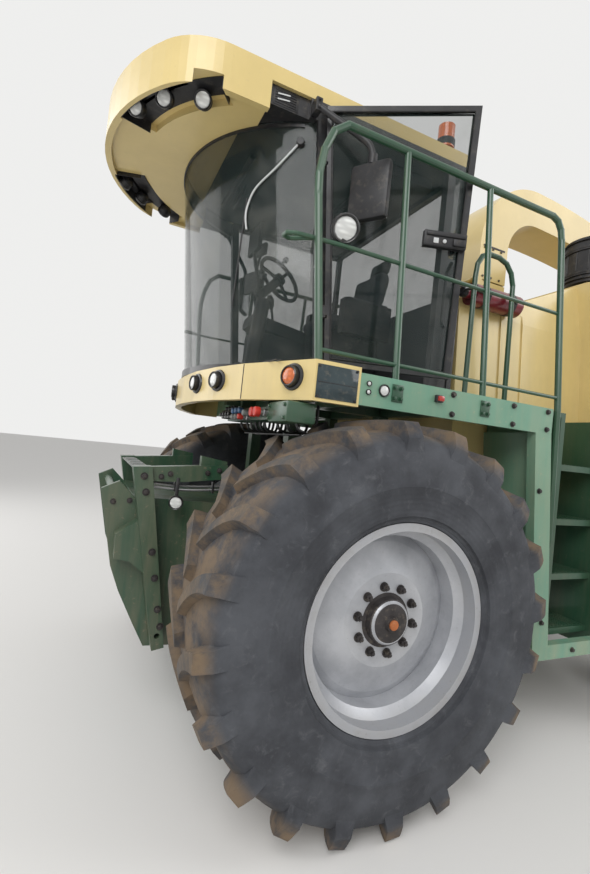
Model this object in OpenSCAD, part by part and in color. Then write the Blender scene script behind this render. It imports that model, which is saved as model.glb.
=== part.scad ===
// Self-propelled forage harvester, every size in millimetres.
// Forward is +X, the machine's left is +Y, up is +Z, and the ground is z = 0.
// Inside the modules x = 0 is the front axle, and the whole is shifted once to centre its box.

/* [Overall] */
// Distance between the front and the rear axle
wheelbase = 3150; // [3050:10:3350]
// Reach of the roof visor ahead of the front axle
visor_reach = 1540; // [1480:5:1600]
// Reach of the discharge spout behind the front axle
spout_reach = 5900; // [5700:10:6200]

/* [Front wheels] */
// Outer diameter of a drive tyre, over its lugs
tyre_d = 2000; // [1940:5:2040]
// Width of a drive tyre across its tread
tread_w = 680; // [620:5:720]
// Height of a lug above the tread
lug_h = 45; // [30:1:55]
// Number of lugs on each half of a drive tyre
lug_count = 20; // [16:1:24]
// Diameter of the rim flange
rim_d = 1014; // [980:2:1040]
// Distance between the middle planes of the two drive wheels
track_w = 2444; // [2400:2:2500]

/* [Rear wheels] */
// Outer diameter of a steered tyre, over its lugs
rear_tyre_d = 1480; // [1420:5:1500]
// Width of a steered tyre across its tread
rear_tread_w = 500; // [460:5:540]
// Diameter of the rim flange of a steered wheel
rear_rim_d = 806; // [780:2:830]
// Distance between the middle planes of the two steered wheels
rear_track_w = 2440; // [2400:2:2500]
// Radius of the steering pivot pins
kingpin_r = 32; // [28:1:38]

/* [Cab] */
// Half of the cab's width
cab_half = 900; // [880:2:915]
// Height of the cab floor above the ground
floor_z = 2280; // [2260:5:2300]
// Height of the glass where it meets the roof
glass_top = 3760; // [3700:5:3790]
// Radius of the windscreen's bow
screen_r = 950; // [920:5:980]
// Forward lean of the windscreen and the front posts, in degrees
screen_lean = 6; // [4:0.5:8]
// Thickness of the glass
glass_t = 8; // [6:1:12]
// Side of the square cab posts
post_w = 60; // [45:1:75]
// Angle at which the open door rests, in degrees
door_rest = 20.5; // [10:0.5:21]
// Width of the door from its hinge to its free edge
door_w = 745; // [700:5:760]

/* [Platforms] */
// Distance from the middle to the platform's outer face
deck_half = 1384; // [1370:2:1400]
// Height of the platform's walking surface
deck_z = 2207; // [2190:1:2220]
// Depth of the platform's edge band
deck_band = 158; // [130:1:160]
// Height of the top handrail
rail_top_z = 3454; // [3350:2:3500]
// How far the top handrail leans in from the platform's edge
rail_lean = 90; // [80:1:95]
// Diameter of the handrail tube
rail_d = 40; // [32:1:48]
// Diameter of the thin middle and low rails
thin_rail_d = 22; // [18:1:28]

/* [Hood] */
// Half width of the narrow front part of the hood at its foot
hood_half = 930; // [900:5:950]
// Half width of the rear part of the hood
rear_half = 1350; // [1300:5:1380]
// Height of the hood's lower edge
hood_low = 1580; // [1560:5:1620]
// Height of the hood's roof
hood_top = 3380; // [3300:5:3420]
// Thickness of the hood's panels
panel_t = 30; // [20:1:40]
// Length of the hood behind the front axle
hood_end = 4700; // [4600:10:4800]

/* [Spout] */
// Width of the discharge spout at its elbow
spout_w = 440; // [380:5:480]
// Distance of the spout's turning axis behind the front axle
spout_x = 1715; // [1690:5:1760]
// Outer radius of the spout's elbow
elbow_r = 660; // [620:5:680]
// Depth of the spout at its elbow
elbow_depth = 330; // [280:5:350]
// Radius of the long gentle bow of the spout
bow_r = 7000; // [6500:100:8000]
// Wall thickness of the spout
spout_t = 12; // [8:1:16]

/* [Hidden] */
$fn = 48;

// Gap between pieces that move past each other, and the running gap of a pin in its bore
gap = 0.3;
run = 0.05;
// The box from the spout's tip to the visor is centred on the origin
mid_x = (spout_reach - visor_reach) / 2;

dark_green = [0.12, 0.24, 0.14];
light_green = [0.42, 0.62, 0.53];
cream = [0.86, 0.76, 0.46];
black = [0.07, 0.07, 0.08];
steel = [0.62, 0.63, 0.65];
tyre_grey = [0.16, 0.16, 0.17];

// A box given by its lowest and its highest corner
module block(lo, hi) translate(lo) cube(hi - lo);

// A straight round bar from p to q
module bar(p, q, d) {
  v = q - p;
  l = norm(v);
  translate(p) rotate([0, acos(v[2] / l), atan2(v[1], v[0])]) cylinder(h = l, d = d);
}

// A bent tube through a list of points, with a ball at each bend
module tube(points, d, sides = 16) {
  for (i = [0 : len(points) - 2]) bar(points[i], points[i + 1], d, $fn = sides);
  for (i = [1 : len(points) - 2]) translate(points[i]) sphere(d = d * 1.04, $fn = sides);
}

// Children as given, and their mirror image on the other side
module both() {
  children();
  mirror([0, 1, 0]) children();
}

// A plate standing in the XZ plane, its outline given in x and z, from y0 to y1
module side_plate(outline, y0, y1) {
  translate([0, y1, 0]) rotate([90, 0, 0]) linear_extrude(y1 - y0) polygon(outline);
}

// A revolved solid whose axis runs along +Y through (x, y, z)
module turned(x, y, z, outline) {
  translate([x, y, z]) rotate([-90, 0, 0]) rotate_extrude($fn = 144) polygon(outline);
}

// Wheels
// A wheel's outlines are in radius and distance outboard of its middle plane

axle_z = tyre_d / 2;
rear_axle_z = rear_tyre_d / 2;
spindle_r = 70;
rear_spindle_r = 45;
// Half widths over the rims' flanges, and the height and thickness of a flange
rim_half = 323;
rear_rim_half = 225;
flange_h = 26;
flange_t = 13;

// Rim, disc and hub of one wheel; half_w is half the width over the flanges
module rim(flange_r, half_w, disc_y, edge_y, hub_r, hub_out, bore_r) {
  seat_r = flange_r - flange_h;
  well_r = flange_r - 68;
  t = flange_t;
  difference() {
    union() {
      turned(0, 0, 0, [
        [flange_r, half_w], [flange_r, half_w - t], [seat_r, half_w - 16], [seat_r - 3, half_w - 70],
        [well_r, half_w - 105], [well_r, 60], [well_r + 34, 20], [well_r + 34, -half_w + 60],
        [seat_r, -half_w + 16], [flange_r, -half_w + t], [flange_r, -half_w],
        [seat_r - t, -half_w], [well_r + 34 - t, -half_w + 65], [well_r + 34 - t, 14],
        [well_r - t, 54], [well_r - t, half_w - 112], [seat_r - 3 - t, half_w - 76], [seat_r - t, half_w]]);
      turned(0, 0, 0, [
        [hub_r - 5, disc_y - 15], [hub_r + 120, disc_y - 15], [well_r - 60, edge_y + 30], [well_r - 6, edge_y],
        [well_r - 6, edge_y + 15], [well_r - 56, edge_y + 45], [hub_r + 122, disc_y], [hub_r - 5, disc_y]]);
      turned(0, 0, 0, [
        [0, -70], [hub_r + 40, -70], [hub_r + 40, -45], [hub_r, -40], [hub_r, hub_out - 12],
          [hub_r - 12, hub_out],
        [42, hub_out], [36, hub_out + 14], [0, hub_out + 14]]);
    }
    translate([0, -71, 0]) rotate([-90, 0, 0]) cylinder(h = 142, r = bore_r);
  }
}

// An outline in radius and distance from the middle plane, completed by its mirror image
function mirrored(side) = concat(side, [for (i = [len(side) - 1 : -1 : 0]) [side[i][0], -side[i][1]]]);

// Carcass and lugs of one tyre; half_w is half the width over the rim's flanges
module tyre(outer_r, half_tread, bulge, lug, count, flange_r, half_w) {
  base = outer_r - lug;
  inner = flange_r - flange_h + gap;
  bead = half_w - flange_t - gap;
  // the carcass rounds off at its shoulders, and the lugs run on down the sidewall as buttresses
  drop = outer_r * 0.095;
  turned(0, 0, 0, mirrored([
    [inner, bead - 3], [flange_r + gap, bead], [flange_r + 12, bead + 18],
      [flange_r + 50, half_tread + bulge * 0.65],
    [(flange_r + base) / 2, half_tread + bulge], [base - drop, half_tread + bulge * 0.45],
    [base - drop * 0.45, half_tread - drop * 0.28], [base - drop * 0.08, half_tread * 0.62],
    [base, half_tread * 0.2]]));
  intersection() {
    for (i = [0 : count - 1], s = [-1, 1])
      rotate([0, (i + (s + 1) / 4) * 360 / count, 0]) mirror([0, (1 - s) / 2, 0])
        translate([0, 0, base - drop - 40]) linear_extrude(lug + drop + 50) polygon([
          [95, 8], [130, 30], [34, half_tread * 0.42], [-34, half_tread * 0.75], [-50, half_tread + bulge],
          [-138, half_tread + bulge], [-112, half_tread * 0.72], [-38, half_tread * 0.36]]);
    turned(0, 0, 0, mirrored([
      [base - drop - 35, half_tread + bulge * 0.3], [base - drop - 30, half_tread + bulge * 0.62],
      [base - drop * 0.4, half_tread + bulge * 0.85], [outer_r - lug * 0.25, half_tread - bulge * 0.2],
      [outer_r - 3, half_tread * 0.6], [outer_r, 0.1]]));
  }
}

module front_rim() {
  translate([0, track_w / 2, axle_z]) rim(rim_d / 2, rim_half, 195, 95, 112, 245, spindle_r + run);
}

module front_tyre() {
  translate([0, track_w / 2, axle_z]) tyre(tyre_d / 2, tread_w / 2, 26, lug_h, lug_count, rim_d / 2, rim_half);
}

module rear_rim() {
  translate([-wheelbase, rear_track_w / 2, rear_axle_z])
    rim(rear_rim_d / 2, rear_rim_half, 110, 70, 85, 150, rear_spindle_r + run);
}

module rear_tyre() {
  translate([-wheelbase, rear_track_w / 2, rear_axle_z])
    tyre(rear_tyre_d / 2, rear_tread_w / 2, 22, 38, 18, rear_rim_d / 2, rear_rim_half);
}

// Running gear

rail_y = 340;
rail_w = 90;
rail_lo = 1170;
rail_hi = 1410;
spindle_face = track_w / 2 - 71;
rear_spindle_face = rear_track_w / 2 - 71;
kingpin_y = rear_track_w / 2 - 260;
arm_back = 200;
rod_z = rear_axle_z - 150;
carrier_z = 2100;
// Height and pin radius of the rear drawbar's clevis
hitch_z = 1290;
hitch_r = 16;
bumper_lo = 2037;
bumper_hi = 2232;
cab_low = bumper_hi + gap;

module chassis() color(dark_green) {
  both() block([-4500, rail_y, rail_lo], [500 - gap, rail_y + rail_w, rail_hi]);
  for (x = [-4500, -3300, -2200, -1620, 399]) block([x, -rail_y, rail_lo + 30],
    [x + 100, rail_y, rail_hi - 30]);
  // clevis of the rear drawbar
  difference() {
    for (z = [hitch_z - 55, hitch_z + 35]) block([-4620, -70, z], [-4499, 70, z + 20]);
    translate([-4570, 0, hitch_z - 60]) cylinder(h = 120, r = hitch_r);
  }
  // rear axle's hanger
  block([-wheelbase - 90, -200, rear_axle_z + 130], [-wheelbase + 90, 200, rail_lo + 60]);
  // carriers of the cab and the platforms
  both() block([-600, rail_y, carrier_z], [440, rail_y + rail_w, deck_z - 30 - gap]);
  both() block([300, rail_y, carrier_z], [440, rail_y + rail_w, bumper_hi - 30 - gap]);
  for (x = [-600, 120]) {
    both() block([x, rail_y, rail_hi - 1], [x + 80, rail_y + rail_w, carrier_z + 1]);
    block([x, -deck_half + 30 + gap, carrier_z], [x + 80, deck_half - 30 - gap, deck_z - 30 - gap]);
  }
  both() block([-600, rail_y, deck_z - 31], [-520, rail_y + rail_w, cab_low - gap]);
  // carriers of the hood
  for (c = [[-4480, rear_half - 60], [-2170, rear_half - 60], [-1000, hood_half - 4]]) {
    block([c[0], -c[1], hood_low - 80], [c[0] + 80, c[1], hood_low - gap]);
    both() block([c[0], rail_y, rail_hi - 1], [c[0] + 80, rail_y + rail_w, hood_low - 79]);
  }
}

module front_axle() color(dark_green) {
  block([-130, -850, axle_z - 150], [130, 850, rail_lo]);
  both() {
    turned(0, 0, axle_z, [[0, 800], [240, 800], [240, spindle_face - 120], [190, spindle_face - gap],
      [0, spindle_face - gap]]);
    turned(0, 0, axle_z, [[0, spindle_face - 1], [spindle_r, spindle_face - 1],
      [spindle_r, spindle_face + 120], [0, spindle_face + 120]]);
  }
}

module rear_axle() color(dark_green) {
  x = -wheelbase;
  difference() {
    union() {
      block([x - 90, -kingpin_y + 70, rear_axle_z - 90], [x + 90, kingpin_y - 70, rear_axle_z + 90]);
      both() for (z = [rear_axle_z - 130, rear_axle_z + 90])
        translate([x, kingpin_y, z]) cylinder(h = 40, r = 70);
      both() for (z = [rear_axle_z - 130, rear_axle_z + 90])
        block([x - 70, kingpin_y - 180, z], [x + 70, kingpin_y, z + 40]);
      block([x - 60, -150, rear_axle_z + 90], [x + 60, 150, rear_axle_z + 130]);
    }
    both() translate([x, kingpin_y, rear_axle_z - 140]) cylinder(h = 280, r = kingpin_r + run);
  }
}

module knuckle() color(dark_green) {
  x = -wheelbase;
  translate([x, kingpin_y, rear_axle_z - 90 + gap]) cylinder(h = 180 - 2 * gap, r = 66);
  translate([x, kingpin_y, rear_axle_z - 175]) cylinder(h = 320, r = kingpin_r);
  turned(x, 0, rear_axle_z, [[0, kingpin_y], [60, kingpin_y], [60, kingpin_y + 120],
    [110, rear_spindle_face - gap], [0, rear_spindle_face - gap]]);
  turned(x, 0, rear_axle_z, [[0, rear_spindle_face - 1], [rear_spindle_r, rear_spindle_face - 1],
    [rear_spindle_r, rear_spindle_face + 120], [0, rear_spindle_face + 120]]);
  // steering arm under the axle, with the track rod's pin at its end
  block([x - arm_back, kingpin_y - 30, rod_z - 25], [x, kingpin_y + 30, rod_z + 5]);
  translate([x - arm_back, kingpin_y, rod_z - 25]) cylinder(h = 30, r = 40);
  translate([x - arm_back, kingpin_y, rod_z - 70]) cylinder(h = 50, r = 16);
}

module tie_rod() color(black) {
  z = rod_z - 45;
  x = -wheelbase - arm_back;
  difference() {
    union() {
      bar([x, -kingpin_y, z], [x, kingpin_y, z], 36);
      both() translate([x, kingpin_y, z - 19]) cylinder(h = 38, r = 36);
    }
    both() translate([x, kingpin_y, z - 40]) cylinder(h = 80, r = 16 + run);
  }
}

// Feed and chopping gear

feed_half = 420;
roller_up = [1080, 1130];
roller_low = [975, 800];
roller_shaft_r = 30;
// Place and radius of the eyes that lock a header
lock_at = [962, 645];
lock_r = 16;

module feed_housing() color(dark_green) {
  post_in = feed_half + 60;
  post_out = feed_half + 170;
  difference() {
    both() {
      side_plate([[1340, 1464], [1281, 1178], [1247, 1018], [1190, 874], [1092, 680], [1016, 538], [500, 520],
        [500, 1400], [1159, 1425], [1245, 1511]], feed_half, feed_half + 40);
      // post, foot and arm of the header carrier
      side_plate([[1089, 1617], [1192, 1609], [984, 561], [915, 575]], post_in, post_out);
      side_plate([[1131, 1302], [1245, 1222], [1240, 1087], [1155, 1070], [1070, 1000], [1040, 1250]],
        feed_half + 39, post_out - 20);
      side_plate([[1105, 1612], [640, 1656], [640, 1570], [899, 1537], [1090, 1530]], post_in, post_out - 30);
      side_plate([[801, 1700], [640, 1677], [640, 1650], [801, 1640]], post_in + 10, post_out - 50);
      side_plate([[920, 700], [1000, 700], [960, 590], [910, 590]], feed_half + 39, post_in + 1);
    }
    for (at = [roller_up, roller_low])
      translate([at[0], -post_in, at[1]]) rotate([-90, 0, 0])
        cylinder(h = 2 * post_in, r = roller_shaft_r + run);
    // eyes for the header's lock pins
    translate([lock_at[0], -post_out - 1, lock_at[1]]) rotate([-90, 0, 0]) cylinder(h = 2 * post_out + 2,
      r = lock_r);
  }
  side_plate([[1155, 1424], [500, 1400], [500, 1380], [1150, 1400]], -feed_half - 1, feed_half + 1);
  side_plate([[1016, 538], [500, 520], [500, 544], [1012, 566]], -feed_half - 1, feed_half + 1);
  // cross tube at the top of the mouth
  turned(1270, 0, 1440, [[0, -feed_half - 1], [24, -feed_half - 1], [24, feed_half + 1], [0, feed_half + 1]]);
}

module roller(at, r, half, ribs) {
  turned(at[0], 0, at[1], [[0, -feed_half - 40], [roller_shaft_r, -feed_half - 40], [roller_shaft_r, -half],
    [r * 0.8, -half], [r * 0.8, half], [roller_shaft_r, half], [roller_shaft_r, feed_half + 40],
    [0, feed_half + 40]]);
  for (i = [0 : ribs - 1])
    translate([at[0], 0, at[1]]) rotate([0, i * 360 / ribs, 0]) block([0.6 * r, -half, -9], [r, half, 9]);
}

module upper_feed_roller() color(steel) roller(roller_up, 170, feed_half - 12, 10);
module lower_feed_roller() color(steel) roller(roller_low, 110, feed_half - 12, 8);

module chopper_housing() color(dark_green) {
  side_plate([[500 - gap, 560], [500 - gap, rail_lo - gap], [150, rail_lo - gap],
    [150, 500]], -feed_half, feed_half);
  side_plate([[-150, 820], [-150, 1400], [-880, 1490], [-1500, 1490], [-1500, 1300], [-700, 700]],
    -rail_y + gap, rail_y - gap);
}

// Cab

// The screen's bow is a round shell whose axis leans forward
screen_x0 = 850 - screen_r;
hinge_x = 235;
door_y = cab_half + 22;
roof_z = glass_top + 60;

module leaned() translate([0, 0, floor_z]) rotate([0, screen_lean, 0]) children();

module windscreen() color([0.6, 0.75, 0.78, 0.4]) intersection() {
  leaned() translate([screen_x0, 0, -200]) linear_extrude(1900) difference() {
    circle(r = screen_r, $fn = 96);
    circle(r = screen_r - glass_t, $fn = 96);
  }
  leaned() block([hinge_x + 35 + gap, -cab_half, -200], [2000, cab_half, 1900]);
  block([0, -cab_half, floor_z + gap], [2000, cab_half, roof_z - gap]);
}

// Hinges of the door at two heights along its leaning axis
hinge_pin_r = 8;
plate_t = 12;
hinge_out = door_y - cab_half + 2;
hinge_heights = [300, 1180];
module at_hinges() for (h = hinge_heights)
  translate([hinge_x, door_y, floor_z]) rotate([0, screen_lean, 0]) translate([0, 0, h]) children();

module cab_frame() color(black) {
  top = roof_z - gap;
  // floor pan with its bowed front
  intersection() {
    union() {
      translate([screen_x0, 0, cab_low]) cylinder(h = floor_z - cab_low, r = screen_r + 20, $fn = 96);
      block([-750, -cab_half, cab_low], [50, cab_half, floor_z]);
    }
    block([-751, -cab_half, cab_low - 1], [900, cab_half, floor_z + 1]);
  }
  both() {
    // front post leaning with the screen, and the two rear posts
    intersection() {
      leaned() block([hinge_x - 25, cab_half - post_w, -200], [hinge_x + 35, cab_half - 2, 2000]);
      block([0, 0, floor_z - 10], [1000, cab_half, top - 10]);
    }
    block([-620, cab_half - post_w + 2, floor_z - 10], [-620 + post_w, cab_half - 2, top - 10]);
    block([-746, cab_half - post_w + 2, floor_z - 10], [-708, cab_half - 2, top - 10]);
    block([-720, cab_half - 40, floor_z - 12], [-610, cab_half - 10, floor_z + 900]);
    // head rail, and the corner that closes the side behind the visor's panel
    block([-750, cab_half - post_w - 3, glass_top + 10], [420, cab_half, top]);
    difference() {
      union() {
        block([419, 600, soffit_z + 15], [visor_back - gap, cab_half - 25, top - 1]);
        block([419, 600, soffit_z + 15], [475, cab_half - 3, top - 1]);
      }
      leaned() translate([screen_x0, 0, 0]) cylinder(h = 1800, r = screen_r + 2, $fn = 96);
    }
  }
  // hinge plates and pins of the door, outside the front post
  at_hinges() {
    translate([-6, -hinge_out - 4, 0]) cube([18, hinge_out + 4, plate_t]);
    cylinder(h = plate_t, r = 12);
    cylinder(h = plate_t + 52, r = hinge_pin_r);
  }
  // rear wall below the rear window, and the rear head rail
  block([-742, -cab_half + 20, floor_z - 11], [-704, cab_half - 20, floor_z + 620]);
  block([-740, -cab_half + 20, glass_top + 12], [-690, cab_half - 20, top - 4]);
}

module cab_windows() color([0.6, 0.75, 0.78, 0.4]) {
  block([-735, -cab_half + post_w + 4, floor_z + 620 + gap],
    [-735 + glass_t, cab_half - post_w - 4, glass_top + 12 - gap]);
  side_plate([[hinge_x - 35, floor_z + gap], [-560 + gap, floor_z + gap], [-560 + gap, glass_top + 10 - gap],
    [hinge_x + 120, glass_top + 10 - gap]], -cab_half + 20, -cab_half + 20 + glass_t);
  // small fixed panes behind the doorway
  both() block([-708 + gap, cab_half - 28, floor_z + 900 + gap],
    [-620 - gap, cab_half - 20, glass_top + 10 - gap]);
}

visor_r = 1180;
visor_x = visor_reach - visor_r;
corner_r = 420;
// The visor's side panels end here, and a dark corner of the cab's frame follows
visor_back = 720;
soffit_z = glass_top - 70;
lip_z = soffit_z - 30;
lip_t = 40;
// Angle round the bow, radius from its centre and turn of each visor lamp, in pockets under the visor
lamp_table = [[23.5, 1108, 16], [34.5, 1072, 24], [46, 995, 18]];
lamp_r = 48;
lamp_z = soffit_z - 5;
pocket_top = lamp_z + lamp_r + gap;

// One side of the roof's outline in plan: a bowed front, a round corner and a straight side
function arc(c, r, a0, a1, n) = [for (i = [1 : n]) let (a = a0 + (a1 - a0) * i / n) c + r * [cos(a), sin(a)]];
function roof_side(inset) = let (
    cy = cab_half - 3 - corner_r,
    cx = visor_x + sqrt(pow(visor_r - corner_r, 2) - cy * cy),
    turn = atan2(cy, cx - visor_x))
  concat(arc([visor_x, 0], visor_r - inset, 0, turn, 8), arc([cx, cy], corner_r - inset, turn, 90, 8));

module roof_plan(inset, back) {
  side = roof_side(inset);
  polygon(concat([[visor_reach - inset, 0]], side, [[-back, cab_half - 3 - inset],
    [-back, -cab_half + 3 + inset]],
    [for (i = [len(side) - 1 : -1 : 0]) [side[i][0], -side[i][1]]]));
}

module cab_roof() color(cream) {
  translate([0, 0, roof_z]) linear_extrude(91) roof_plan(0, 760);
  hull() {
    translate([0, 0, roof_z + 90]) linear_extrude(1) roof_plan(0, 760);
    translate([0, 0, roof_z + 155]) linear_extrude(1) roof_plan(100, 700);
  }
  // visor with its soffit round the windscreen, a lip, and a pocket for three lamps on each side
  difference() {
    union() {
      translate([0, 0, soffit_z]) linear_extrude(roof_z - soffit_z + 1) roof_plan(0, -visor_back);
      translate([0, 0, lip_z]) linear_extrude(soffit_z - lip_z + 1) difference() {
        roof_plan(0, -visor_back);
        roof_plan(lip_t, 1 - visor_back);
      }
    }
    leaned() translate([screen_x0, 0, 0]) cylinder(h = 1800, r = screen_r + 3, $fn = 96);
    both() translate([visor_x, 0, lip_z - 1]) rotate([0, 0, 17]) rotate_extrude(angle = 38)
      translate([screen_r - 20, 0]) square([visor_r - screen_r - 5, pocket_top - lip_z + 1]);
  }
}

module door_outline(inset) {
  h = floor_z + 30;
  polygon([[3 - inset, h + inset], [-door_w + inset, h + inset],
    [-door_w - 10 + inset, glass_top + 165 - inset],
    [150 - inset, glass_top + 20 - inset]]);
}

// The door is drawn closed, hinge at its own origin, and swings out about the leaning front post
module door_place() translate([hinge_x, door_y, floor_z]) rotate([0, screen_lean, 0])
  rotate([0, 0, -door_rest]) rotate([0, -screen_lean, 0]) translate([0, 0, -floor_z]) children();

module door_frame() color(black) difference() {
  union() {
    door_place() {
      translate([0, 15, 0]) rotate([90, 0, 0]) linear_extrude(30) difference() {
        door_outline(0);
        door_outline(32);
      }
      // outer handle
      block([-door_w + 5, 10, 3060], [-door_w + 255, 45, 3150]);
    }
    at_hinges() translate([0, 0, plate_t + gap]) cylinder(h = 50, r = 15);
  }
  // room for the fixed hinge plates, and the bores of their pins
  at_hinges() {
    translate([0, 0, -6]) cylinder(h = plate_t + 6 + gap, r = 20);
    cylinder(h = plate_t + 60, r = hinge_pin_r + run);
  }
}

module door_glass() color([0.6, 0.75, 0.78, 0.4]) door_place()
  translate([0, glass_t / 2, 0]) rotate([90, 0, 0]) linear_extrude(glass_t) door_outline(32 + gap);

// Inside the cab

seat_x = -560;

module seat() color([0.13, 0.13, 0.15]) {
  side_plate([[seat_x + 480, 2740], [seat_x + 500, 2850], [seat_x + 60, 2830], [seat_x - 40, 3420],
    [seat_x - 130, 3420],
    [seat_x - 60, 2740]], -240, 240);
}

module seat_base() color(black) {
  block([seat_x - 20, -200, floor_z + gap], [seat_x + 420, 200, 2740 - gap]);
  both() block([seat_x - 40, 260, 2700], [seat_x + 380, 330, 2960]);
  both() block([seat_x + 60, 199, 2700], [seat_x + 160, 262, 2730]);
}

wheel_at = [232, 0, 3080];
wheel_tilt = 42;
module steering_column() color(black) {
  bar([390, 0, floor_z + 80], [340, 0, 2900], 110);
  translate(wheel_at) rotate([0, -wheel_tilt, 0]) {
    translate([0, 0, -230]) cylinder(h = 210 - gap, r = 34);
    translate([0, 0, -21]) cylinder(h = 30, r = 12);
  }
  block([310, -160, floor_z + gap], [540, 160, floor_z + 90]);
  // display on its arm
  bar([360, 0, 2880], [450, 0, 3240], 30);
  block([435, -120, 3235], [465, 120, 3420]);
}

module steering_wheel() color(black) translate(wheel_at) rotate([0, -wheel_tilt, 0]) {
  rotate_extrude($fn = 64) translate([185, 0]) circle(r = 15, $fn = 24);
  difference() {
    cylinder(h = 40, r = 45, center = true);
    translate([0, 0, -21]) cylinder(h = 32, r = 12 + run);
  }
  for (a = [90, 210, 330]) rotate([0, 0, a]) block([30, -12, -8], [185, 12, 8]);
}

// Front

module bumper() color(cream) {
  outer = [[260, deck_half], [510, deck_half], [716, 922], [800, 640], [850, 330], [866, 0], [850, -330],
    [800, -640],
    [716, -922], [510, -deck_half], [260, -deck_half]];
  translate([0, 0, bumper_lo]) linear_extrude(bumper_hi - bumper_lo) difference() {
    polygon(outer);
    polygon([[200, deck_half - 40], [485, deck_half - 40], [670, 905], [752, 630], [802, 325], [818, 0],
      [802, -325],
      [752, -630], [670, -905], [485, -deck_half + 40], [200, -deck_half + 40]]);
  }
  // step plate in front of the cab
  translate([0, 0, bumper_hi - 30]) linear_extrude(30) polygon(outer);
}

module front_lamps() color([0.9, 0.88, 0.8]) both() {
  for (l = [[842.7, 375, 9.16, 48], [788, 680, 16.6, 48], [566, 1258, 24.03, 52]])
    translate([l[0], l[1], 2150]) rotate([0, 90, l[2]]) translate([0, 0, gap]) cylinder(h = 30, r = l[3]);
}

module coupler_block() color(dark_green) {
  block([470, 300, 1940], [600, 1080, 2010]);
  for (y = [420, 900]) block([500, y, 2009], [560, y + 40, bumper_hi - 30 - gap]);
}

// Platforms and handrails

module platform() color(light_green) {
  z0 = deck_z - deck_band;
  deck_in = hood_half - 22;
  block([-1130, deck_half - 30, z0], [260 - gap, deck_half, deck_z]);
  block([-1130, deck_in, deck_z - 30], [260 - gap, deck_half, deck_z]);
  block([228, deck_in, z0], [260 - gap, deck_half, deck_z]);
  block([-1130, deck_in + 3, z0], [-1100, deck_half, deck_z]);
  // slanting post behind the wheel and the foot rail
  side_plate([[-992, z0 + 1], [-1130, z0 + 1], [-1280, 665], [-1141, 665]], deck_half - 60, deck_half);
  block([-2000, deck_half - 60, 665], [-1141, deck_half, 755]);
  block([-2000, deck_half - 60, 665], [-1940, deck_half - 1, rail_hi]);
  // splash plate behind the wheel, and the beams to the frame
  side_plate([[-1040, z0 + 1], [-1060, z0 + 1], [-1180, 900], [-1160, 900]], hood_half + 10, deck_half - 59);
  for (x = [-2000, -1140]) block([x, rail_y + rail_w + gap, rail_lo + 60], [x + 60, deck_half - 59, rail_hi]);
}

// Handrail of one side, drawn on the left: it leans inwards from the platform's edge
module rail_side() {
  y0 = deck_half - 22;
  y1 = y0 - rail_lean;
  z_mid = 2828;
  ym = y0 - 52;
  difference() {
    union() {
      tube([[483, y0, deck_z - 40], [552, y1 + 30, 3040], [554, y1 + 20, 3150], [534, y1 + 10, 3280],
        [490, y1 + 4, 3390],
        [410, y1, rail_top_z], [-1110, y1, rail_top_z], [-1160, y1 + 2, 3432], [-1188, y1 + 6, 3380],
        [-1194, y1 + 12, 3310],
        [-1194, y0, deck_z], [-1221, y0, 1400]], rail_d, 12);
      for (x = [38, -565]) bar([x, y1, rail_top_z], [x, y0, deck_z - 40], rail_d - 4, $fn = 12);
    }
    block([-1150, 1200, deck_z - 100], [260, 1500, deck_z + gap]);
    block([260, 1200, deck_z - 100], [700, 1500, bumper_hi + gap]);
  }
  tube([[-1190, ym, z_mid], [400, ym, z_mid], [640, ym - 20, z_mid], [680, ym - 40, z_mid],
    [682, ym - 75, z_mid],
    [645, ym - 90, z_mid], [545, ym - 10, z_mid]], thin_rail_d, 12);
  bar([-1190, y0 - 5, 2285], [489, y0 - 5, 2285], thin_rail_d, $fn = 12);
}

arch_y = 1030;
module rail_arch() color(dark_green) difference() {
  tube([[-1105, arch_y, deck_z - 20], [-1085, arch_y, 3060], [-1060, arch_y, 3140], [-1010, arch_y, 3195],
    [-940, arch_y, 3218], [-850, arch_y, 3218], [-790, arch_y, 3190], [-755, arch_y, 3130],
    [-745, arch_y, 3040],
    [-745, arch_y, deck_z - 20]], rail_d - 6, 12);
  block([-1200, 900, deck_z - 100], [-600, 1200, deck_z + gap]);
}
module rail_left() color(dark_green) rail_side();

module rail_right() color(dark_green) mirror([0, 1, 0]) rail_side();

module ladder() color(dark_green) {
  y0 = hood_half + 10;
  y1 = deck_half - 60 - gap;
  block([-1850, y0, 665], [-1800, y1, deck_z]);
  block([-1330, y0, 665], [-1290, y1, deck_z]);
  block([-1330, y0, deck_z - 30], [-1130 - gap, y1, deck_z]);
  for (z = [760, 1120, 1480, 1840]) block([-1801, y0, z], [-1329, y1 - 60, z + 40]);
}

// Lamps, mirrors and loose fittings

module work_lamps() color(black) {
  // lamps under the ceilings of the visor's pockets
  both() for (l = lamp_table)
    translate([visor_x + l[1] * cos(l[0]), l[1] * sin(l[0]), lamp_z]) rotate([0, 90, l[2]])
      cylinder(h = 70, r = lamp_r, center = true);
  // lamp on the front handrail
  translate([395, 1305, 2915]) rotate([0, 90, 40]) cylinder(h = 60, r = 70);
  block([380, 1298, 2828 + thin_rail_d / 2 + gap], [420, 1322, 2860]);
}

module mirrors() color(black) both() {
  block([432, cab_half - 3 + gap, 3710], [475, cab_half + 70, 3790]);
  // the housing is turned towards the driver
  translate([170, 1130, 0]) rotate([0, 0, 34]) block([-30, -120, 3090], [30, 120, 3420]);
  tube([[170, 1130, 3410], [185, 1125, 3520], [450, 950, 3745]], 20, 12);
}

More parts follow.
